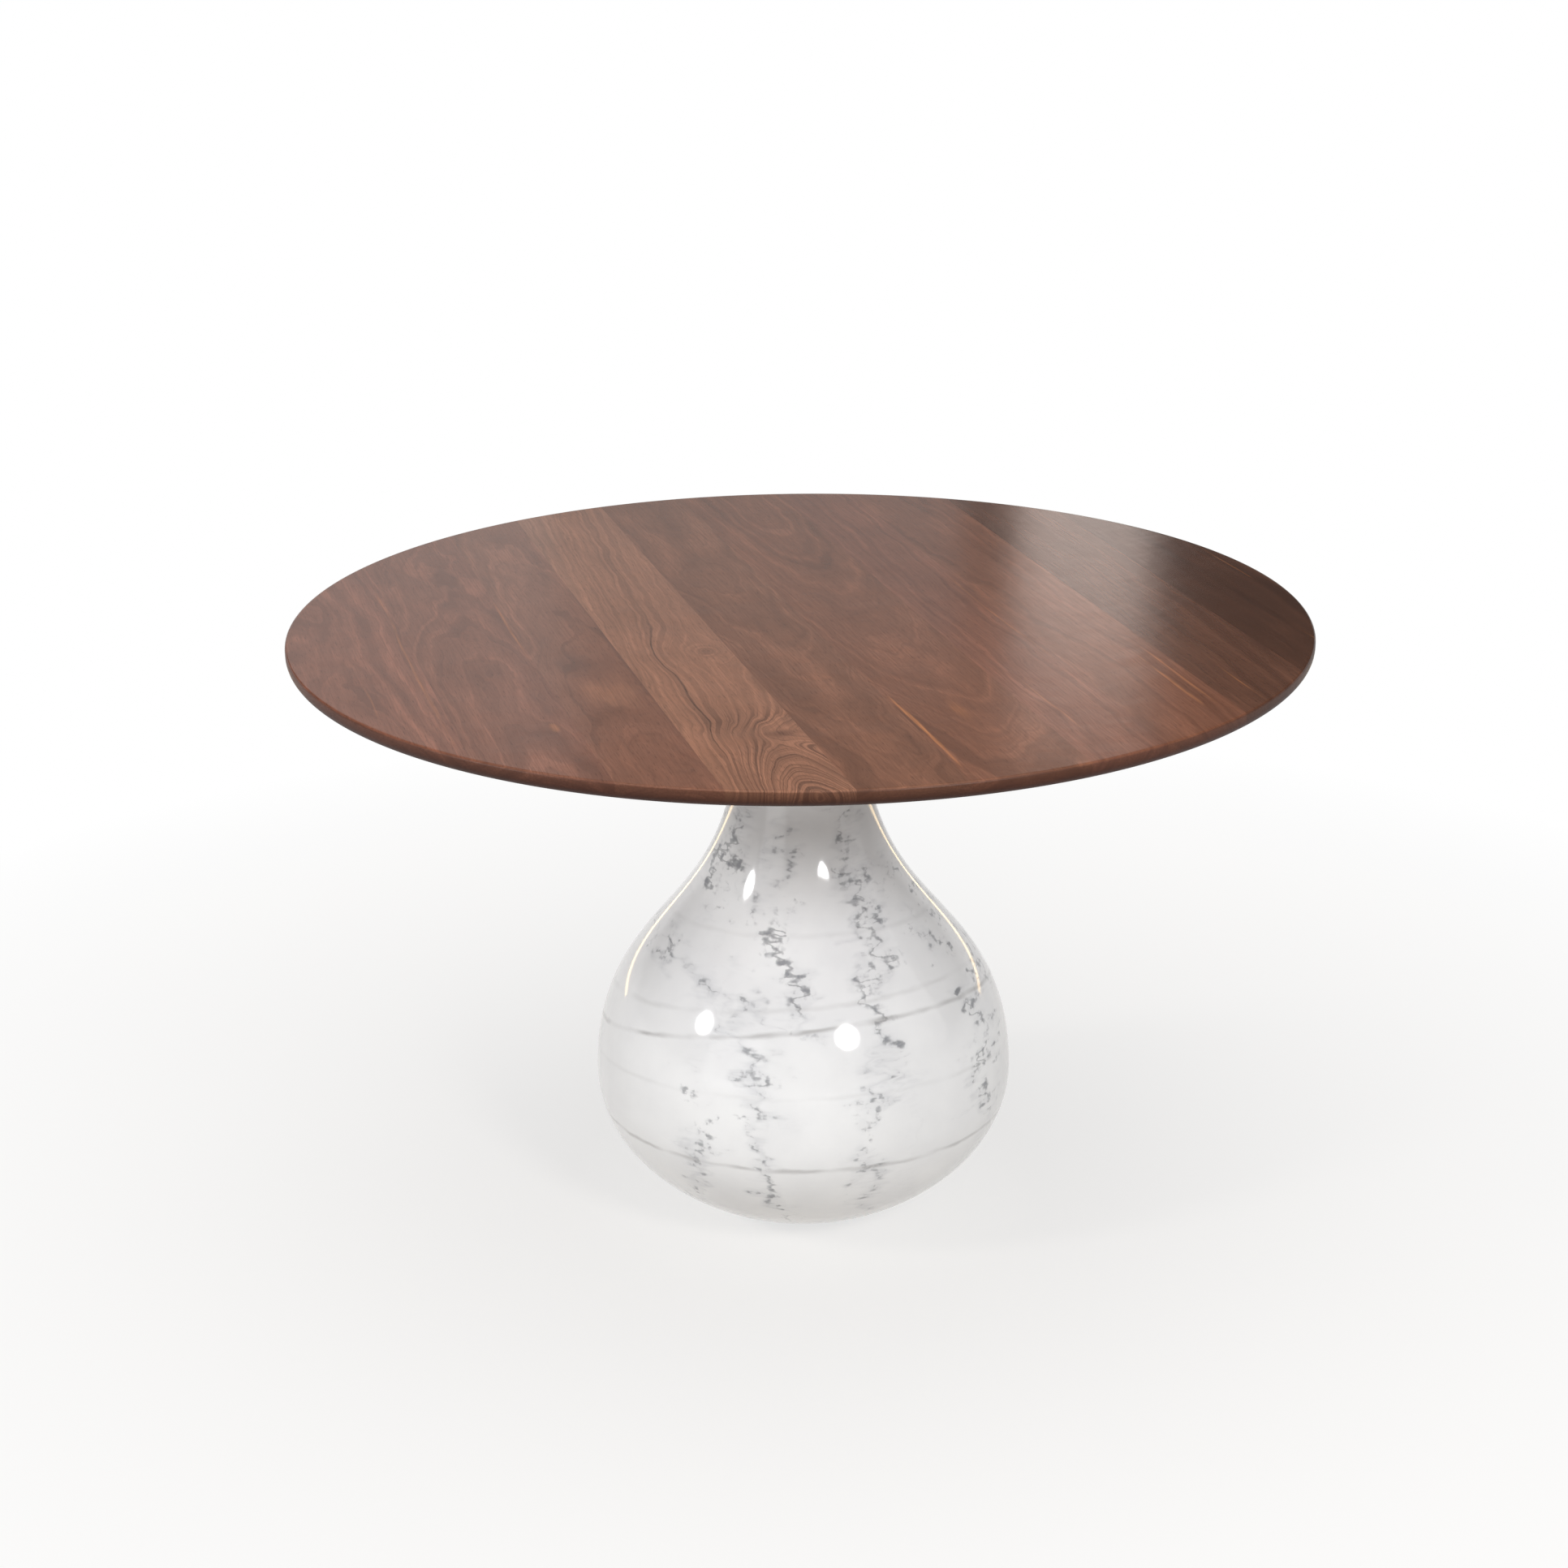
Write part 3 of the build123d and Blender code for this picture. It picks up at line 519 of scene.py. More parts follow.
def marked_rings(finish, look, grain, radius):
    """The rings bent by a board's marks, how far they ripple there, and where the figure is strong."""
    throw = 14 * mm
    figure = 0
    for kind, mark_x, mark_y, half_width, half_length, inner, outer in look.get("marks", ()):
        near = add(
            finish, "ShaderNodeMapping",
            {"Vector": grain, "Location": (mark_x * mm, mark_y * mm, 0),
             "Scale": (half_width * mm, half_length * mm, 100)},
            vector_type="TEXTURE",
        )
        beside, beyond = add(finish, "ShaderNodeSeparateXYZ", {0: near.outputs[0]}).outputs[:2]
        reach = add(finish, "ShaderNodeVectorMath", {0: near.outputs[0]}, operation="LENGTH").outputs[1]
        if kind == "knot":
            # The rings part and pass on both sides.
            reach = add(
                finish, "ShaderNodeMapRange", {0: reach, 3: inner * mm, 4: outer * mm},
                interpolation_type="SMOOTHSTEP",
            )
            radius = add(
                finish, "ShaderNodeMath", {0: reach.outputs[0], 1: beside, 2: radius},
                operation="MULTIPLY_ADD",
            ).outputs[0]
        elif kind == "eye":
            # The rings close into ovals.
            reach = add(finish, "ShaderNodeMapRange", {0: reach, 3: inner * mm, 4: outer * mm}, clamp=False)
            radius = add(
                finish, "ShaderNodeMath", {0: radius, 1: reach.outputs[0]}, operation="MINIMUM"
            ).outputs[0]
        elif kind == "crotch":
            # The rings lean over to one side and toss.
            shift = add(
                finish, "ShaderNodeMapRange", {0: beyond, 1: 1, 2: -1, 3: 0, 4: inner * mm},
                interpolation_type="SMOOTHSTEP",
            )
            weight = add(finish, "ShaderNodeMapRange", {0: beside, 1: -0.5, 2: 0, 3: 0, 4: -1})
            radius = add(
                finish, "ShaderNodeMath", {0: shift.outputs[0], 1: weight.outputs[0], 2: radius},
                operation="MULTIPLY_ADD",
            ).outputs[0]
            toss = add(
                finish, "ShaderNodeMapRange", {0: reach, 3: 1, 4: 0}, interpolation_type="SMOOTHSTEP"
            )
            throw = add(
                finish, "ShaderNodeMath", {0: toss.outputs[0], 1: outer * mm, 2: throw},
                operation="MULTIPLY_ADD",
            ).outputs[0]
            figure = add(
                finish, "ShaderNodeMath", {0: toss.outputs[0], 1: figure}, operation="MAXIMUM"
            ).outputs[0]
        elif kind == "arch":
            # The rings bow over one another.
            reach = add(
                finish, "ShaderNodeMapRange", {0: reach, 1: 0.55, 2: 1, 3: 1, 4: 0},
                interpolation_type="SMOOTHSTEP",
            )
            bow = add(finish, "ShaderNodeMath", {0: beside, 1: 2}, operation="POWER")
            bow = add(
                finish, "ShaderNodeMath", {0: bow.outputs[0], 1: 3, 2: beyond}, operation="MULTIPLY_ADD"
            )
            bow = add(
                finish, "ShaderNodeMath", {0: bow.outputs[0], 1: inner * mm, 2: outer * mm},
                operation="MULTIPLY_ADD",
            )
            radius = add(
                finish, "ShaderNodeMix", {0: reach.outputs[0], 2: radius, 3: bow.outputs[0]}
            ).outputs[0]
            figure = add(
                finish, "ShaderNodeMath", {0: reach.outputs[0], 1: figure}, operation="MAXIMUM"
            ).outputs[0]
    return radius, throw, figure


def ring_tones(finish, look, grain, radius, figure, tones):
    """The wood's colour from its rings: bands, a soft flame across them, late wood and mineral lines."""
    seed = look["seed"]
    dark, body, light = tones
    rings = add(
        finish, "ShaderNodeMath", {0: radius, 1: 1 / (look["ring"] * mm), 2: seed}, operation="MULTIPLY_ADD"
    )
    bands = add(
        finish, "ShaderNodeTexNoise", {"W": rings.outputs[0], "Scale": 1, "Detail": 4, "Roughness": 0.7},
        noise_dimensions="1D",
    )
    flame_size = (1 / (42 * mm), 1 / (170 * mm), 1 / (42 * mm))
    flame_place = add(
        finish, "ShaderNodeMapping", {"Vector": grain, "Scale": flame_size, "Location": (-seed, seed, seed)}
    )
    flame = add(
        finish, "ShaderNodeTexNoise",
        {"Vector": flame_place.outputs[0], "Scale": 1, "Detail": 2, "Distortion": 0.4},
    )
    tone = add(finish, "ShaderNodeMix", {0: look["banding"], 2: flame.outputs[0], 3: bands.outputs[0]})
    shade = add(
        finish, "ShaderNodeMapRange", {0: tone.outputs[0], 1: 0.34, 2: 0.5},
        interpolation_type="SMOOTHSTEP",
    )
    glow = add(
        finish, "ShaderNodeMapRange", {0: tone.outputs[0], 1: 0.48, 2: 0.66},
        interpolation_type="SMOOTHSTEP",
    )
    wood = add(finish, "ShaderNodeMix", {0: shade.outputs[0], 6: dark, 7: body}, data_type="RGBA")
    wood = add(
        finish, "ShaderNodeMix", {0: glow.outputs[0], 6: wood.outputs[2], 7: light}, data_type="RGBA"
    )

    # In a crotch and its arches the late wood is nearly black.
    late = add(
        finish, "ShaderNodeMapRange", {0: bands.outputs[0], 1: 0.41, 2: 0.53, 3: 0.5, 4: 0},
        interpolation_type="SMOOTHSTEP",
    )
    late = add(finish, "ShaderNodeMath", {0: late.outputs[0], 1: figure}, operation="MULTIPLY")
    wood = add(
        finish, "ShaderNodeMix", {0: late.outputs[0], 6: wood.outputs[2], 7: colour("#33201a")},
        data_type="RGBA",
    )

    # A mineral line is one ring stained almost black. It sets in near the front and fades towards the back.
    along = add(finish, "ShaderNodeSeparateXYZ", {0: grain}).outputs[1]
    fade = 120
    for ring_radius, half_width, strength, front, back in look.get("mineral_lines", ()):
        off = add(finish, "ShaderNodeMath", {0: radius, 1: ring_radius * mm}, operation="SUBTRACT")
        off = add(finish, "ShaderNodeMath", {0: off.outputs[0]}, operation="ABSOLUTE")
        shown = add(
            finish, "ShaderNodeMapRange",
            {0: along, 1: front * mm, 2: (front + fade) * mm, 3: 0, 4: strength},
        )
        faint = add(
            finish, "ShaderNodeMapRange", {0: along, 1: back * mm, 2: (back + fade) * mm, 3: 1, 4: 0.3}
        )
        shown = add(
            finish, "ShaderNodeMath", {0: shown.outputs[0], 1: faint.outputs[0]}, operation="MULTIPLY"
        )
        line = add(
            finish, "ShaderNodeMapRange",
            {0: off.outputs[0], 1: 0, 2: half_width * mm, 3: shown.outputs[0], 4: 0},
            interpolation_type="SMOOTHSTEP",
        )
        wood = add(
            finish, "ShaderNodeMix", {0: line.outputs[0], 6: wood.outputs[2], 7: colour("#2b1a12")},
            data_type="RGBA",
        )
    return wood


def streaked(finish, look, grain, wood, sway, ripple, fibre):
    """The wood with streaks of colour along the grain: sapwood gold, or the brown of a stain."""
    across, along = add(finish, "ShaderNodeSeparateXYZ", {0: grain}).outputs[:2]
    for streak_x, streak_y, half_width, half_length, stain, strength in look.get("streaks", ()):
        swayed = add(
            finish, "ShaderNodeMath", {0: sway, 1: look["waver"] * mm, 2: across}, operation="MULTIPLY_ADD"
        )
        lane = add(finish, "ShaderNodeCombineXYZ", {0: swayed.outputs[0], 1: along})
        near = add(
            finish, "ShaderNodeMapping",
            {"Vector": lane.outputs[0], "Location": ((streak_x + look["waver"] / 2) * mm, streak_y * mm, 0),
             "Scale": (half_width * mm, half_length * mm, 1)},
            vector_type="TEXTURE",
        )
        near = add(finish, "ShaderNodeVectorMath", {0: near.outputs[0]}, operation="LENGTH")
        near = add(
            finish, "ShaderNodeMath", {0: ripple.outputs[0], 1: 1.6, 2: near.outputs[1]},
            operation="MULTIPLY_ADD",
        )
        near = add(
            finish, "ShaderNodeMapRange", {0: near.outputs[0], 1: 0.9, 2: 1.8, 3: strength, 4: 0},
            interpolation_type="SMOOTHSTEP",
        )
        broken = add(finish, "ShaderNodeMapRange", {0: fibre.outputs[0], 1: 0.3, 2: 0.6, 3: 1, 4: 0.4})
        near = add(
            finish, "ShaderNodeMath", {0: near.outputs[0], 1: broken.outputs[0]}, operation="MULTIPLY"
        )
        wood = add(
            finish, "ShaderNodeMix", {0: near.outputs[0], 6: wood.outputs[2], 7: colour(stain)},
            data_type="RGBA",
        )
    return wood


def walnut(name, look, turn=0.0):
    """Sawn walnut: tones that follow the rings, fibres, pores and streaks, with lacquer on the face."""
    finish, surface, place = new_finish(name)
    seed = look["seed"]
    body = colour(look["body"])
    dark = [share * (1 - look["contrast"]) for share in body[:3]] + [1]
    light = [share * (1 + 1.3 * look["contrast"]) for share in body[:3]] + [1]
    grain = add(finish, "ShaderNodeMapping", {"Vector": place, "Rotation": (0, 0, turn)}).outputs[0]
    radius, sway = log_rings(finish, look, grain)
    radius, throw, figure = marked_rings(finish, look, grain, radius)
    ripple_size = (1 / (30 * mm), 1 / (95 * mm), 1 / (30 * mm))
    ripple_place = add(
        finish, "ShaderNodeMapping", {"Vector": grain, "Scale": ripple_size, "Location": (seed, seed, seed)}
    )
    ripple = add(finish, "ShaderNodeTexNoise", {"Vector": ripple_place.outputs[0], "Scale": 1, "Detail": 2})
    radius = add(
        finish, "ShaderNodeMath", {0: ripple.outputs[0], 1: throw, 2: radius}, operation="MULTIPLY_ADD"
    ).outputs[0]
    wood = ring_tones(finish, look, grain, radius, figure, (dark, body, light))

    # Fibres and pores run with the grain. Both are drawn about twice as coarse as real, so that they show.
    fibre_place = add(
        finish, "ShaderNodeMapping",
        {"Vector": grain, "Scale": (1 / (2.2 * mm), 1 / (70 * mm), 1 / (2.2 * mm))},
    )
    fibre = add(finish, "ShaderNodeTexNoise", {"Vector": fibre_place.outputs[0], "Scale": 1, "Detail": 3})
    fibre_share = add(finish, "ShaderNodeMapRange", {0: fibre.outputs[0], 1: 0.38, 2: 0.75, 3: 0, 4: 0.7})
    pore_place = add(
        finish, "ShaderNodeMapping",
        {"Vector": grain, "Scale": (1 / (1.2 * mm), 1 / (17 * mm), 1 / (1.2 * mm))},
    )
    pore = add(finish, "ShaderNodeTexNoise", {"Vector": pore_place.outputs[0], "Scale": 1, "Detail": 1})
    pore_share = add(finish, "ShaderNodeMapRange", {0: pore.outputs[0], 1: 0.6, 2: 0.75, 3: 0, 4: 0.4})
    for share, tone in ((fibre_share, dark), (pore_share, colour("#2a1911"))):
        wood = add(
            finish, "ShaderNodeMix", {0: share.outputs[0], 6: wood.outputs[2], 7: tone}, data_type="RGBA"
        )
    wood = streaked(finish, look, grain, wood, sway, ripple, fibre)

    # Only the face is lacquered: the sawn edge and the underside drink their oil and stay darker and duller.
    # The edge is also darkened by painted shade, which deepens towards its bottom, where it rounds under.
    up = add(finish, "ShaderNodeSeparateXYZ", {0: grain}).outputs[2]
    face = look["face"]
    back = look["back"]
    bare = add(finish, "ShaderNodeMapRange", {0: up, 1: face, 2: face - 2 * mm}).outputs[0]
    # Painted shade: darker towards the bottom of the edge, where it rounds under and faces down.
    painted_edge_shade = add(
        finish, "ShaderNodeMapRange", {0: up, 1: face - 3 * mm, 2: face - 13 * mm, 3: 0.72, 4: 1.1}
    )
    drunk = add(
        finish, "ShaderNodeMapRange", {0: up, 1: back + 0.2 * mm, 2: back + 1 * mm, 3: 0.45, 4: 0.82}
    )
    # The darkening mask: the oil of edge and underside, with the painted shade on the edge.
    oil_and_edge_shade = add(finish, "ShaderNodeMath", {0: bare, 1: drunk.outputs[0]}, operation="MULTIPLY")
    oil_and_edge_shade = add(
        finish, "ShaderNodeMath", {0: oil_and_edge_shade.outputs[0], 1: painted_edge_shade.outputs[0]}, operation="MULTIPLY"
    )
    wood = add(
        finish, "ShaderNodeMix", {0: oil_and_edge_shade.outputs[0], 6: wood.outputs[2], 7: colour("#2a0e05")},
        data_type="RGBA",
    )
    sheen = add(
        finish, "ShaderNodeMapRange",
        {0: fibre.outputs[0], 3: look["gloss"] - 0.04, 4: look["gloss"] + 0.06},
    )
    sheen = add(finish, "ShaderNodeMath", {0: bare, 1: 0.33, 2: sheen.outputs[0]}, operation="MULTIPLY_ADD")

    # The pores stay open through the lacquer, and the sanded face is never quite flat.
    bump = add(
        finish, "ShaderNodeBump",
        {"Strength": 0.08, "Distance": 0.1 * mm, "Height": pore_share.outputs[0]}, invert=True,
    )
    wave_size = (1 / (60 * mm), 1 / (52 * mm), 1 / (60 * mm))
    wave_place = add(finish, "ShaderNodeMapping", {"Vector": grain, "Scale": wave_size})
    wave = add(finish, "ShaderNodeTexNoise", {"Vector": wave_place.outputs[0], "Scale": 1, "Detail": 2})
    bump = add(
        finish, "ShaderNodeBump",
        {"Strength": 1, "Distance": 0.25 * mm, "Height": wave.outputs[0], "Normal": bump.outputs[0]},
    )
    finish.node_tree.links.new(wood.outputs[2], surface.inputs["Base Color"])
    finish.node_tree.links.new(sheen.outputs[0], surface.inputs["Roughness"])
    finish.node_tree.links.new(bump.outputs[0], surface.inputs["Normal"])
    surface.inputs["IOR"].default_value = 1.46
    surface.inputs["Specular IOR Level"].default_value = 0.22
    return finish


# A look of walnut: the seed of its noise, the heart's place across the board and below the table's face and
# its lean, the width of a ring, the share that bands have in the tone, how far the heart wavers, the heights
# of the lacquered face and of the back, and the colour, its contrast and the gloss.
bearer_look = {
    "seed": 41.0, "heart": (30, 70, 0.03), "ring": 9, "banding": 0.6, "waver": 10, "face": 0, "back": 0,
    "body": "#6b4733", "contrast": 0.38, "gloss": 0.48,
}
oiled_walnut = walnut("oiled_walnut", bearer_look, math.radians(90))
for node in ("bearer_front", "bearer_back"):
    finished(node, oiled_walnut)
finished("keeper_block", oiled_walnut)
finished("keeper_plate", zinc_plate)
finished("bearer_screws", zinc_plate)
finished("keeper_screws", zinc_plate)


# Walnut boards: ten boards glued edge to edge and sawn round, satin lacquered, each with its own figure.
# The upper arris is eased, a short band stands upright, and a rounded lower edge runs into a long bevel.
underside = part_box("top_board_5")[0].z
top_radius = 600 * mm
rim_round = 3 * mm
rim_flat = 5 * mm
rim_under_radius = 10.5 * mm
rim_bevel_angle = math.radians(19)
face_border = 2 * mm
rim_facets = 360
round_steps = 8
under_steps = 12
under_middle = Vector((top_radius - rim_under_radius, table_height - rim_round - rim_flat))
under_turn = math.radians(90) - rim_bevel_angle
rim = []
for step in range(under_steps + 1):
    turn = under_turn * (step / under_steps - 1)
    rim.append(under_middle + rim_under_radius * Vector((math.cos(turn), math.sin(turn))))
round_middle = Vector((top_radius - rim_round, table_height - rim_round))
for step in range(round_steps + 1):
    turn = math.radians(90) * step / round_steps
    rim.append(round_middle + rim_round * Vector((math.cos(turn), math.sin(turn))))
rim.append(Vector((round_middle.x - face_border, table_height)))
bevel_radius = rim[0].x - (rim[0].y - underside) / math.tan(rim_bevel_angle)
bpy.ops.object.select_all(action="DESELECT")
bpy.ops.mesh.primitive_circle_add(
    vertices=rim_facets, radius=bevel_radius, fill_type="NGON", location=(0, 0, 0)
)
disc = bpy.context.object
disc.name = "glued_disc"
bpy.ops.object.mode_set(mode="EDIT")
bpy.ops.mesh.select_all(action="SELECT")
bpy.ops.transform.translate(value=(0, 0, underside))
here = Vector((bevel_radius, underside))
for there in rim:
    grow = there.x / here.x
    bpy.ops.mesh.extrude_region_move(TRANSFORM_OT_translate={"value": (0, 0, there.y - here.y)})
    bpy.ops.transform.resize(value=(grow, grow, 1), center_override=(0, 0, there.y))
    here = there
bpy.ops.mesh.select_all(action="SELECT")
bpy.ops.mesh.normals_make_consistent(inside=False)
bpy.ops.object.mode_set(mode="OBJECT")

# Marks and streaks have a place, a half width and a half length on the face, in millimetres. A mark's last
# two values set how it moves the rings, and a streak's are its colour and strength.
gold = "#d08854"
stain = "#553b32"
plain = {
    "waver": 20, "ring": 9, "banding": 0.55, "contrast": 0.29, "gloss": 0.17, "face": table_height,
    "back": underside,
}
board_looks = [
    {**plain, "seed": 1.3, "heart": (-560, 90, 0.05), "body": "#845644",
     "streaks": [(-466, -60, 3, 420, gold, 0.4), (-530, -170, 3, 90, gold, 0.4)]},
    {**plain, "seed": 5.1, "heart": (-385, 90, 0.05), "body": "#7f5341",
     "streaks": [(-337, 40, 2.5, 200, gold, 0.4), (-355, -312, 6, 16, gold, 0.3)]},
    {**plain, "seed": 9.7, "heart": (-270, 110, 0.04), "body": "#815643",
     "streaks": [(-264, -216, 46, 80, "#a77458", 0.6), (-280, -108, 45, 60, stain, 0.6),
                 (-238, -60, 3, 460, stain, 0.5)]},
    {**plain, "seed": 13.9, "heart": (-55, 70, 0.015), "slant": 0.06, "ring": 7, "banding": 0.6, "waver": 6,
     "body": "#93664f", "contrast": 0.26,
     "marks": [("knot", -139, -99, 95, 130, 70, 0), ("eye", -139, -99, 24, 32, 66, 108),
               ("crotch", -150, -352, 120, 60, 40, 15), ("arch", -150, -530, 85, 150, 60, 30)],
     "mineral_lines": [(148, 2.4, 0.75, -520, -40)],
     "streaks": [(-139, -99, 12, 16, "#412c23", 0.6), (-135, -402, 28, 16, "#4c3229", 0.8)]},
    {**plain, "seed": 17.2, "heart": (-50, 110, -0.04), "body": "#7d5440",
     "streaks": [(-104, -300, 7, 320, stain, 0.15)]},
    {**plain, "seed": 21.6, "heart": (84, 70, -0.11), "ring": 12, "banding": 0.6, "body": "#7d523e",
     "streaks": [(7, -440, 3, 190, gold, 0.8), (62, -385, 14, 50, gold, 0.35)]},
    {**plain, "seed": 25.8, "heart": (330, 120, 0.02), "body": "#7f5341",
     "streaks": [(224, -50, 2.5, 180, gold, 0.4), (165, -420, 2.5, 90, gold, 0.4)]},
    {**plain, "seed": 29.4, "heart": (200, 120, 0.03), "body": "#7d523f",
     "streaks": [(318, -360, 3, 130, gold, 0.5), (335, -330, 2.5, 140, gold, 0.45)]},
    # The two right-hand boards are darker partly in their own tone and partly by painted shade, as light
    # falls off to the right.
    {**plain, "seed": 33.5, "heart": (560, 120, 0.03), "body": "#634233",
     "streaks": [(392, -380, 2.5, 90, gold, 0.4)]},
    {**plain, "seed": 37.1, "heart": (640, 110, 0.03), "body": "#513528",
     "streaks": [(535, -290, 2.5, 90, gold, 0.4), (575, 60, 2, 90, gold, 0.3)]},
]
for number, look in enumerate(board_looks, start=1):
    low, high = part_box(f"top_board_{number}")
    board = bpy.data.objects.new(f"walnut_board_{number}", disc.data.copy())
    bpy.context.scene.collection.objects.link(board)
    pick_up(board)
    bpy.ops.object.mode_set(mode="EDIT")
    if number > 1:
        bpy.ops.mesh.select_all(action="SELECT")
        bpy.ops.mesh.bisect(plane_co=(low.x, 0, 0), plane_no=(1, 0, 0), use_fill=True, clear_inner=True)
    if number < len(board_looks):
        bpy.ops.mesh.select_all(action="SELECT")
        bpy.ops.mesh.bisect(plane_co=(high.x, 0, 0), plane_no=(1, 0, 0), use_fill=True, clear_outer=True)
    bpy.ops.object.mode_set(mode="OBJECT")
    bpy.ops.object.shade_smooth_by_angle(angle=math.radians(15))
    board.data.materials.append(walnut(f"satin_walnut_{number}", look))
    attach(board, "top")
    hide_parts(f"top_board_{number}")
bpy.data.objects.remove(disc)


# Floor and studio: a pale painted floor without end in a dim room, lit from a soft box overhead, with two
# round lamps and two soft fills in front, panels behind whose light lies on the lacquer, and two low warm
# lamps that line the stone.
bpy.ops.object.select_all(action="DESELECT")
bpy.ops.mesh.primitive_plane_add(size=80)
floor = bpy.context.object
floor.name = "studio_floor"
floor_paint, surface, place = new_finish("white_floor_paint")
surface.inputs["Base Color"].default_value = colour("#dcd7d0")
surface.inputs["Roughness"].default_value = 0.9

# Far off the paint is seen as pure white, and round the foot it keeps a soft shadow.
seen = add(floor_paint, "ShaderNodeLightPath")
seen_by = add(
    floor_paint, "ShaderNodeMath",
    {0: seen.outputs["Is Camera Ray"], 1: seen.outputs["Is Glossy Ray"]}, operation="MAXIMUM",
)
seen_by = add(
    floor_paint, "ShaderNodeMath", {0: seen_by.outputs[0], 1: seen.outputs["Is Transmission Ray"]},
    operation="MAXIMUM",
)
away = add(floor_paint, "ShaderNodeVectorMath", {0: place}, operation="LENGTH")
white_share = add(
    floor_paint, "ShaderNodeMapRange", {0: away.outputs["Value"], 1: 0.3, 2: 1.8, 3: 0.7, 4: 1}
)
white_share = add(
    floor_paint, "ShaderNodeMath", {0: white_share.outputs[0], 1: seen_by.outputs[0]}, operation="MULTIPLY"
)
white = add(floor_paint, "ShaderNodeEmission", {"Strength": 1})
floor_look = add(
    floor_paint, "ShaderNodeMixShader",
    {0: white_share.outputs[0], 1: surface.outputs[0], 2: white.outputs[0]},
)
floor_paint.node_tree.links.new(
    floor_look.outputs[0], floor_paint.node_tree.nodes["Material Output"].inputs["Surface"]
)
floor.data.materials.append(floor_paint)

# The room's light is bright along the horizon, dim above and dimmer to the right. The camera sees it white,
# and so does what mirrors its foot.
scene = bpy.context.scene
room = bpy.data.worlds.new("studio_room")
room.use_nodes = True
scene.world = room
room_side = add(room, "ShaderNodeTexCoord")
room_height = add(room, "ShaderNodeSeparateXYZ", {0: room_side.outputs["Generated"]})
room_fade = add(
    room, "ShaderNodeMapRange", {0: room_height.outputs[2], 1: 0, 2: 0.16}, interpolation_type="SMOOTHSTEP"
)
room_tone = add(
    room, "ShaderNodeMix", {0: room_fade.outputs[0], 6: colour("#ffffff"), 7: colour("#4d4d4d")},
    data_type="RGBA",
)
room_aside = add(
    room, "ShaderNodeVectorMath", {0: room_side.outputs["Generated"], 1: sideways}, operation="DOT_PRODUCT"
)
room_dimmed = add(
    room, "ShaderNodeMapRange", {0: room_aside.outputs["Value"], 1: -0.4, 2: 0.7, 3: 1, 4: 0.5}
)
room_tone = add(
    room, "ShaderNodeVectorMath", {0: room_tone.outputs[2], "Scale": room_dimmed.outputs[0]},
    operation="SCALE",
)
room_seen = add(room, "ShaderNodeLightPath")
mirrored = add(
    room, "ShaderNodeMath",
    {0: room_seen.outputs["Is Glossy Ray"], 1: room_seen.outputs["Is Transmission Ray"]},
    operation="MAXIMUM",
)
low_wall = add(room, "ShaderNodeMapRange", {0: room_height.outputs[2], 1: 0.04, 2: 0.18, 3: 1, 4: 0})
mirrored = add(
    room, "ShaderNodeMath", {0: mirrored.outputs[0], 1: low_wall.outputs[0]}, operation="MULTIPLY"
)
room_white = add(
    room, "ShaderNodeMath", {0: mirrored.outputs[0], 1: room_seen.outputs["Is Camera Ray"]},
    operation="MAXIMUM",
)
room_tone = add(
    room, "ShaderNodeMix", {0: room_white.outputs[0], 6: room_tone.outputs[0], 7: colour("#ffffff")},
    data_type="RGBA",
)
room.node_tree.links.new(room_tone.outputs[2], room.node_tree.nodes["Background"].inputs["Color"])


def lamp(name, place, aim, width, height, brightness, tint="#ffffff", shape="RECTANGLE"):
    """A soft lamp that faces a point, with its brightness given as the white of its face."""
    light = bpy.data.lights.new(name, "AREA")
    light.shape = shape
    light.size = width
    light.size_y = height
    share = math.pi / 4 if shape == "ELLIPSE" else 1
    light.energy = brightness * math.pi * width * height * share
    light.color = colour(tint)[:3]
    made = bpy.data.objects.new(name, light)
    made.location = place
    made.rotation_euler = (Vector(aim) - Vector(place)).to_track_quat("-Z", "Y").to_euler()
    made.visible_camera = False
    scene.collection.objects.link(made)


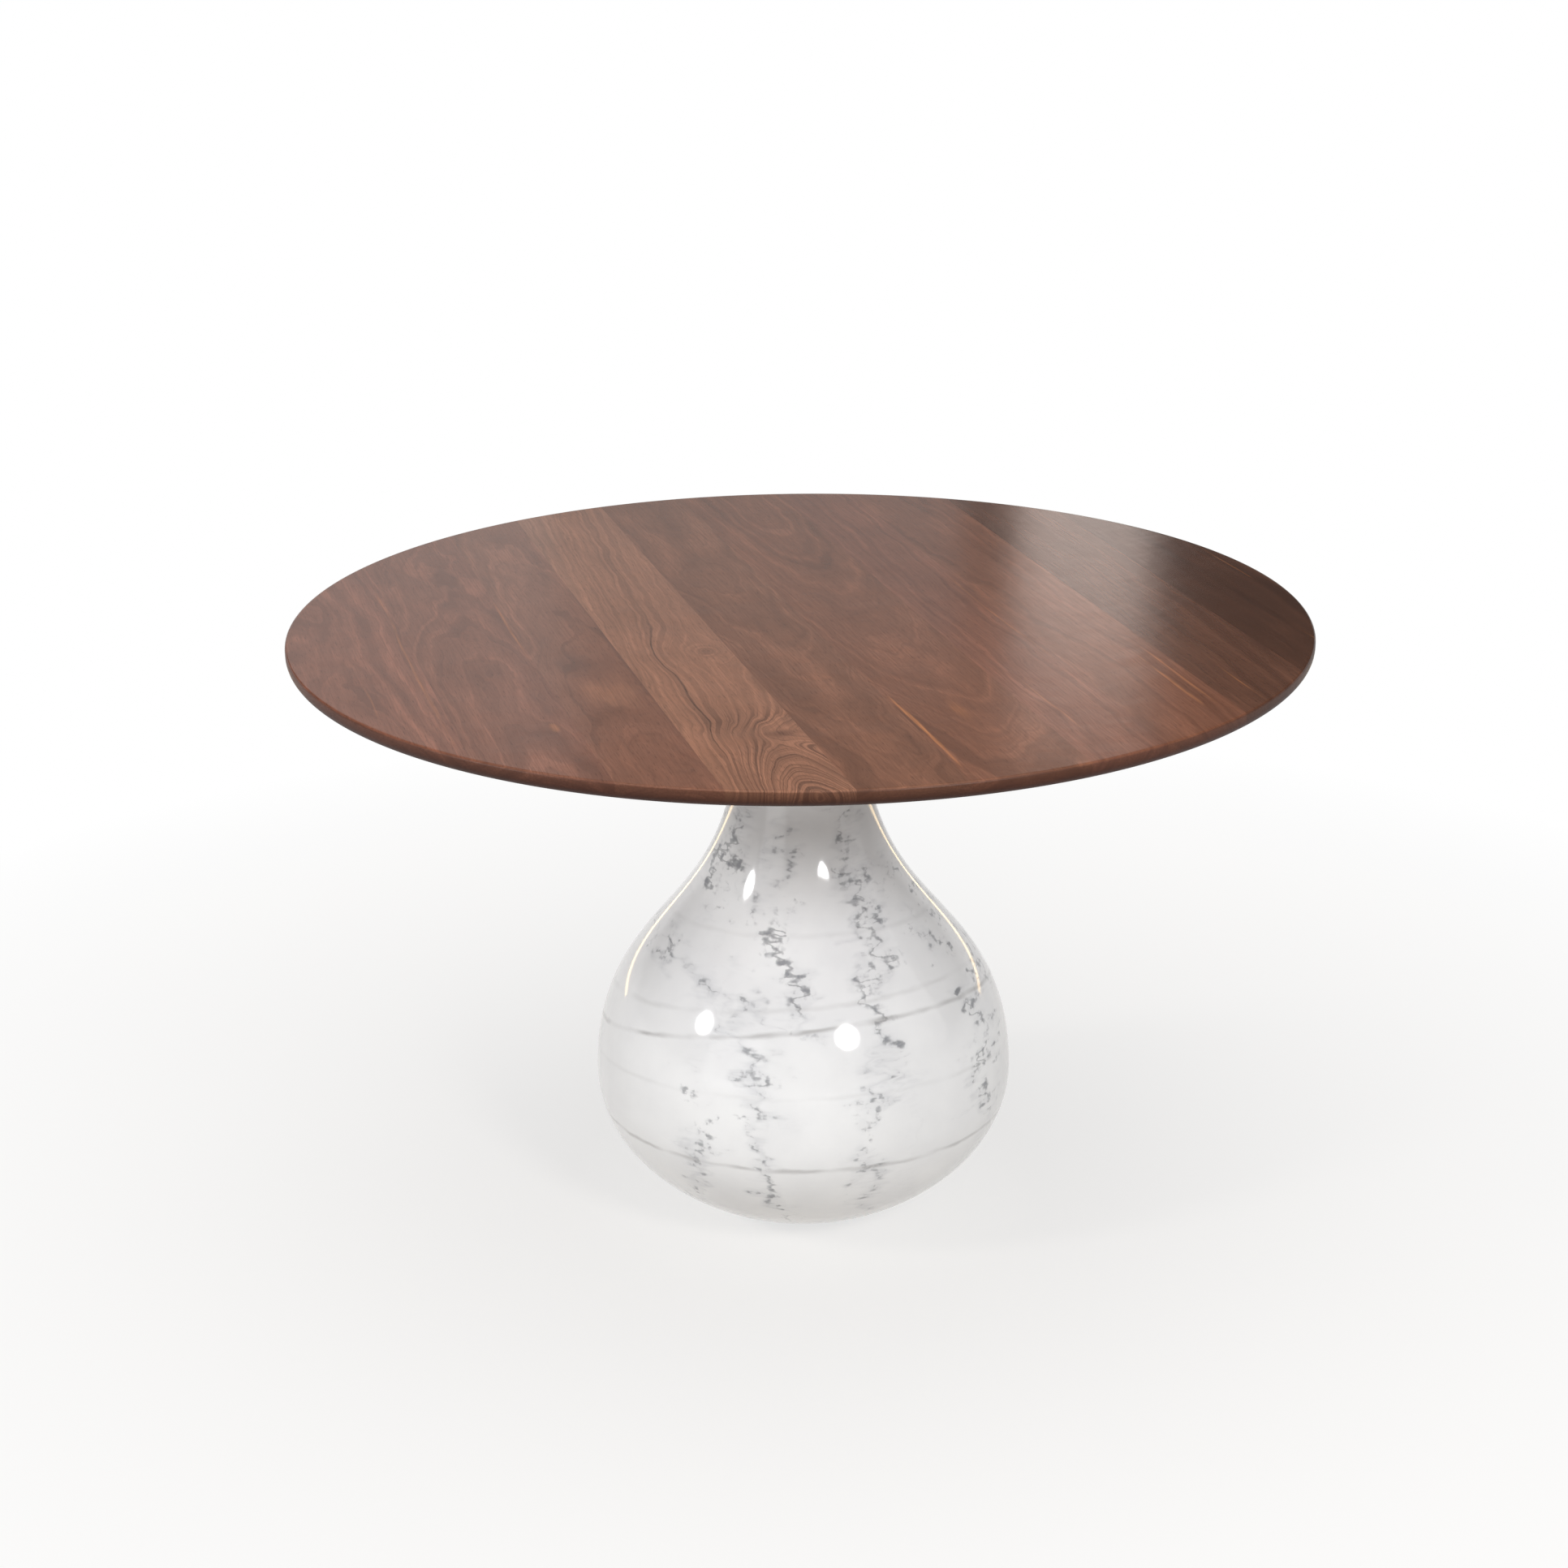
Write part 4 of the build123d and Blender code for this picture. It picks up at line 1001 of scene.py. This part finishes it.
stone_middle = upright * 0.35
lamp("overhead_softbox", (0, 0, 4.2), (0, 0, 0), 4.0, 4.0, 1.7)
lamp("left_lamp", (-4.14, -0.62, 2.55), stone_middle, 0.77, 0.77, 50, shape="ELLIPSE")
lamp("front_lamp", (0.5, -2.45, 1.84), stone_middle, 0.62, 0.62, 42, shape="ELLIPSE")
lamp("left_fill", (-2.6, -1.8, 1.2), stone_middle, 1.8, 1.8, 1.3)
lamp("right_fill", (2.6, -1.6, 1.6), stone_middle, 1.8, 1.8, 0.8)

# Each panel behind: how far to the right it stands, how high, its width and height, brightness and tint.
face_middle = upright * table_height
panel_back = ahead * 5
panels = {
    "left_panel": (-1.5, 2.15, 1.6, 1.5, 0.6, "#ffffff"),
    "wide_panel": (-0.1, 1.87, 1.2, 1.04, 0.42, "#ffffff"),
    "high_panel": (-0.1, 2.68, 1.7, 0.5, 0.16, "#ffffff"),
    "narrow_panel": (0.87, 1.91, 0.4, 0.84, 1.85, "#fff0e8"),
    "upper_panel": (0.87, 2.53, 0.4, 0.4, 0.95, "#fff0e8"),
}
for name, (right, raised, width, height, brightness, tint) in panels.items():
    panel_place = panel_back + sideways * right + upright * raised
    lamp(name, panel_place, face_middle, width, height, brightness, tint)
for name, hand in (("left_low_lamp", -1), ("right_low_lamp", 1)):
    low_place = ahead * 1.15 + sideways * hand * 0.97 + upright * 0.28
    lamp(name, low_place, upright * 0.4, 0.85, 0.05, 4, tint="#ffdca4")


# Camera: the photograph's own standpoint, worked out from the ellipse of the top and the base's outline.
# It stands to the left of the boards' direction, looks down a little and leans very slightly.
camera_distance = 3130.4 * mm
camera_height = 1678.8 * mm
camera_heading = math.radians(0.372) - view_turn
camera_pitch = math.radians(19.994)
camera_lean = math.radians(-0.629)
camera = bpy.data.objects.new("photo_camera", bpy.data.cameras.new("photo_camera"))
camera.data.sensor_width = 36
camera.data.lens = 63.35
camera.matrix_world = (
    Matrix.Translation(-ahead * camera_distance + upright * camera_height)
    @ Matrix.Rotation(camera_heading, 4, "Z")
    @ Matrix.Rotation(math.radians(90) - camera_pitch, 4, "X")
    @ Matrix.Rotation(camera_lean, 4, "Z")
)
scene.collection.objects.link(camera)
scene.camera = camera
scene.view_settings.view_transform = "Standard"
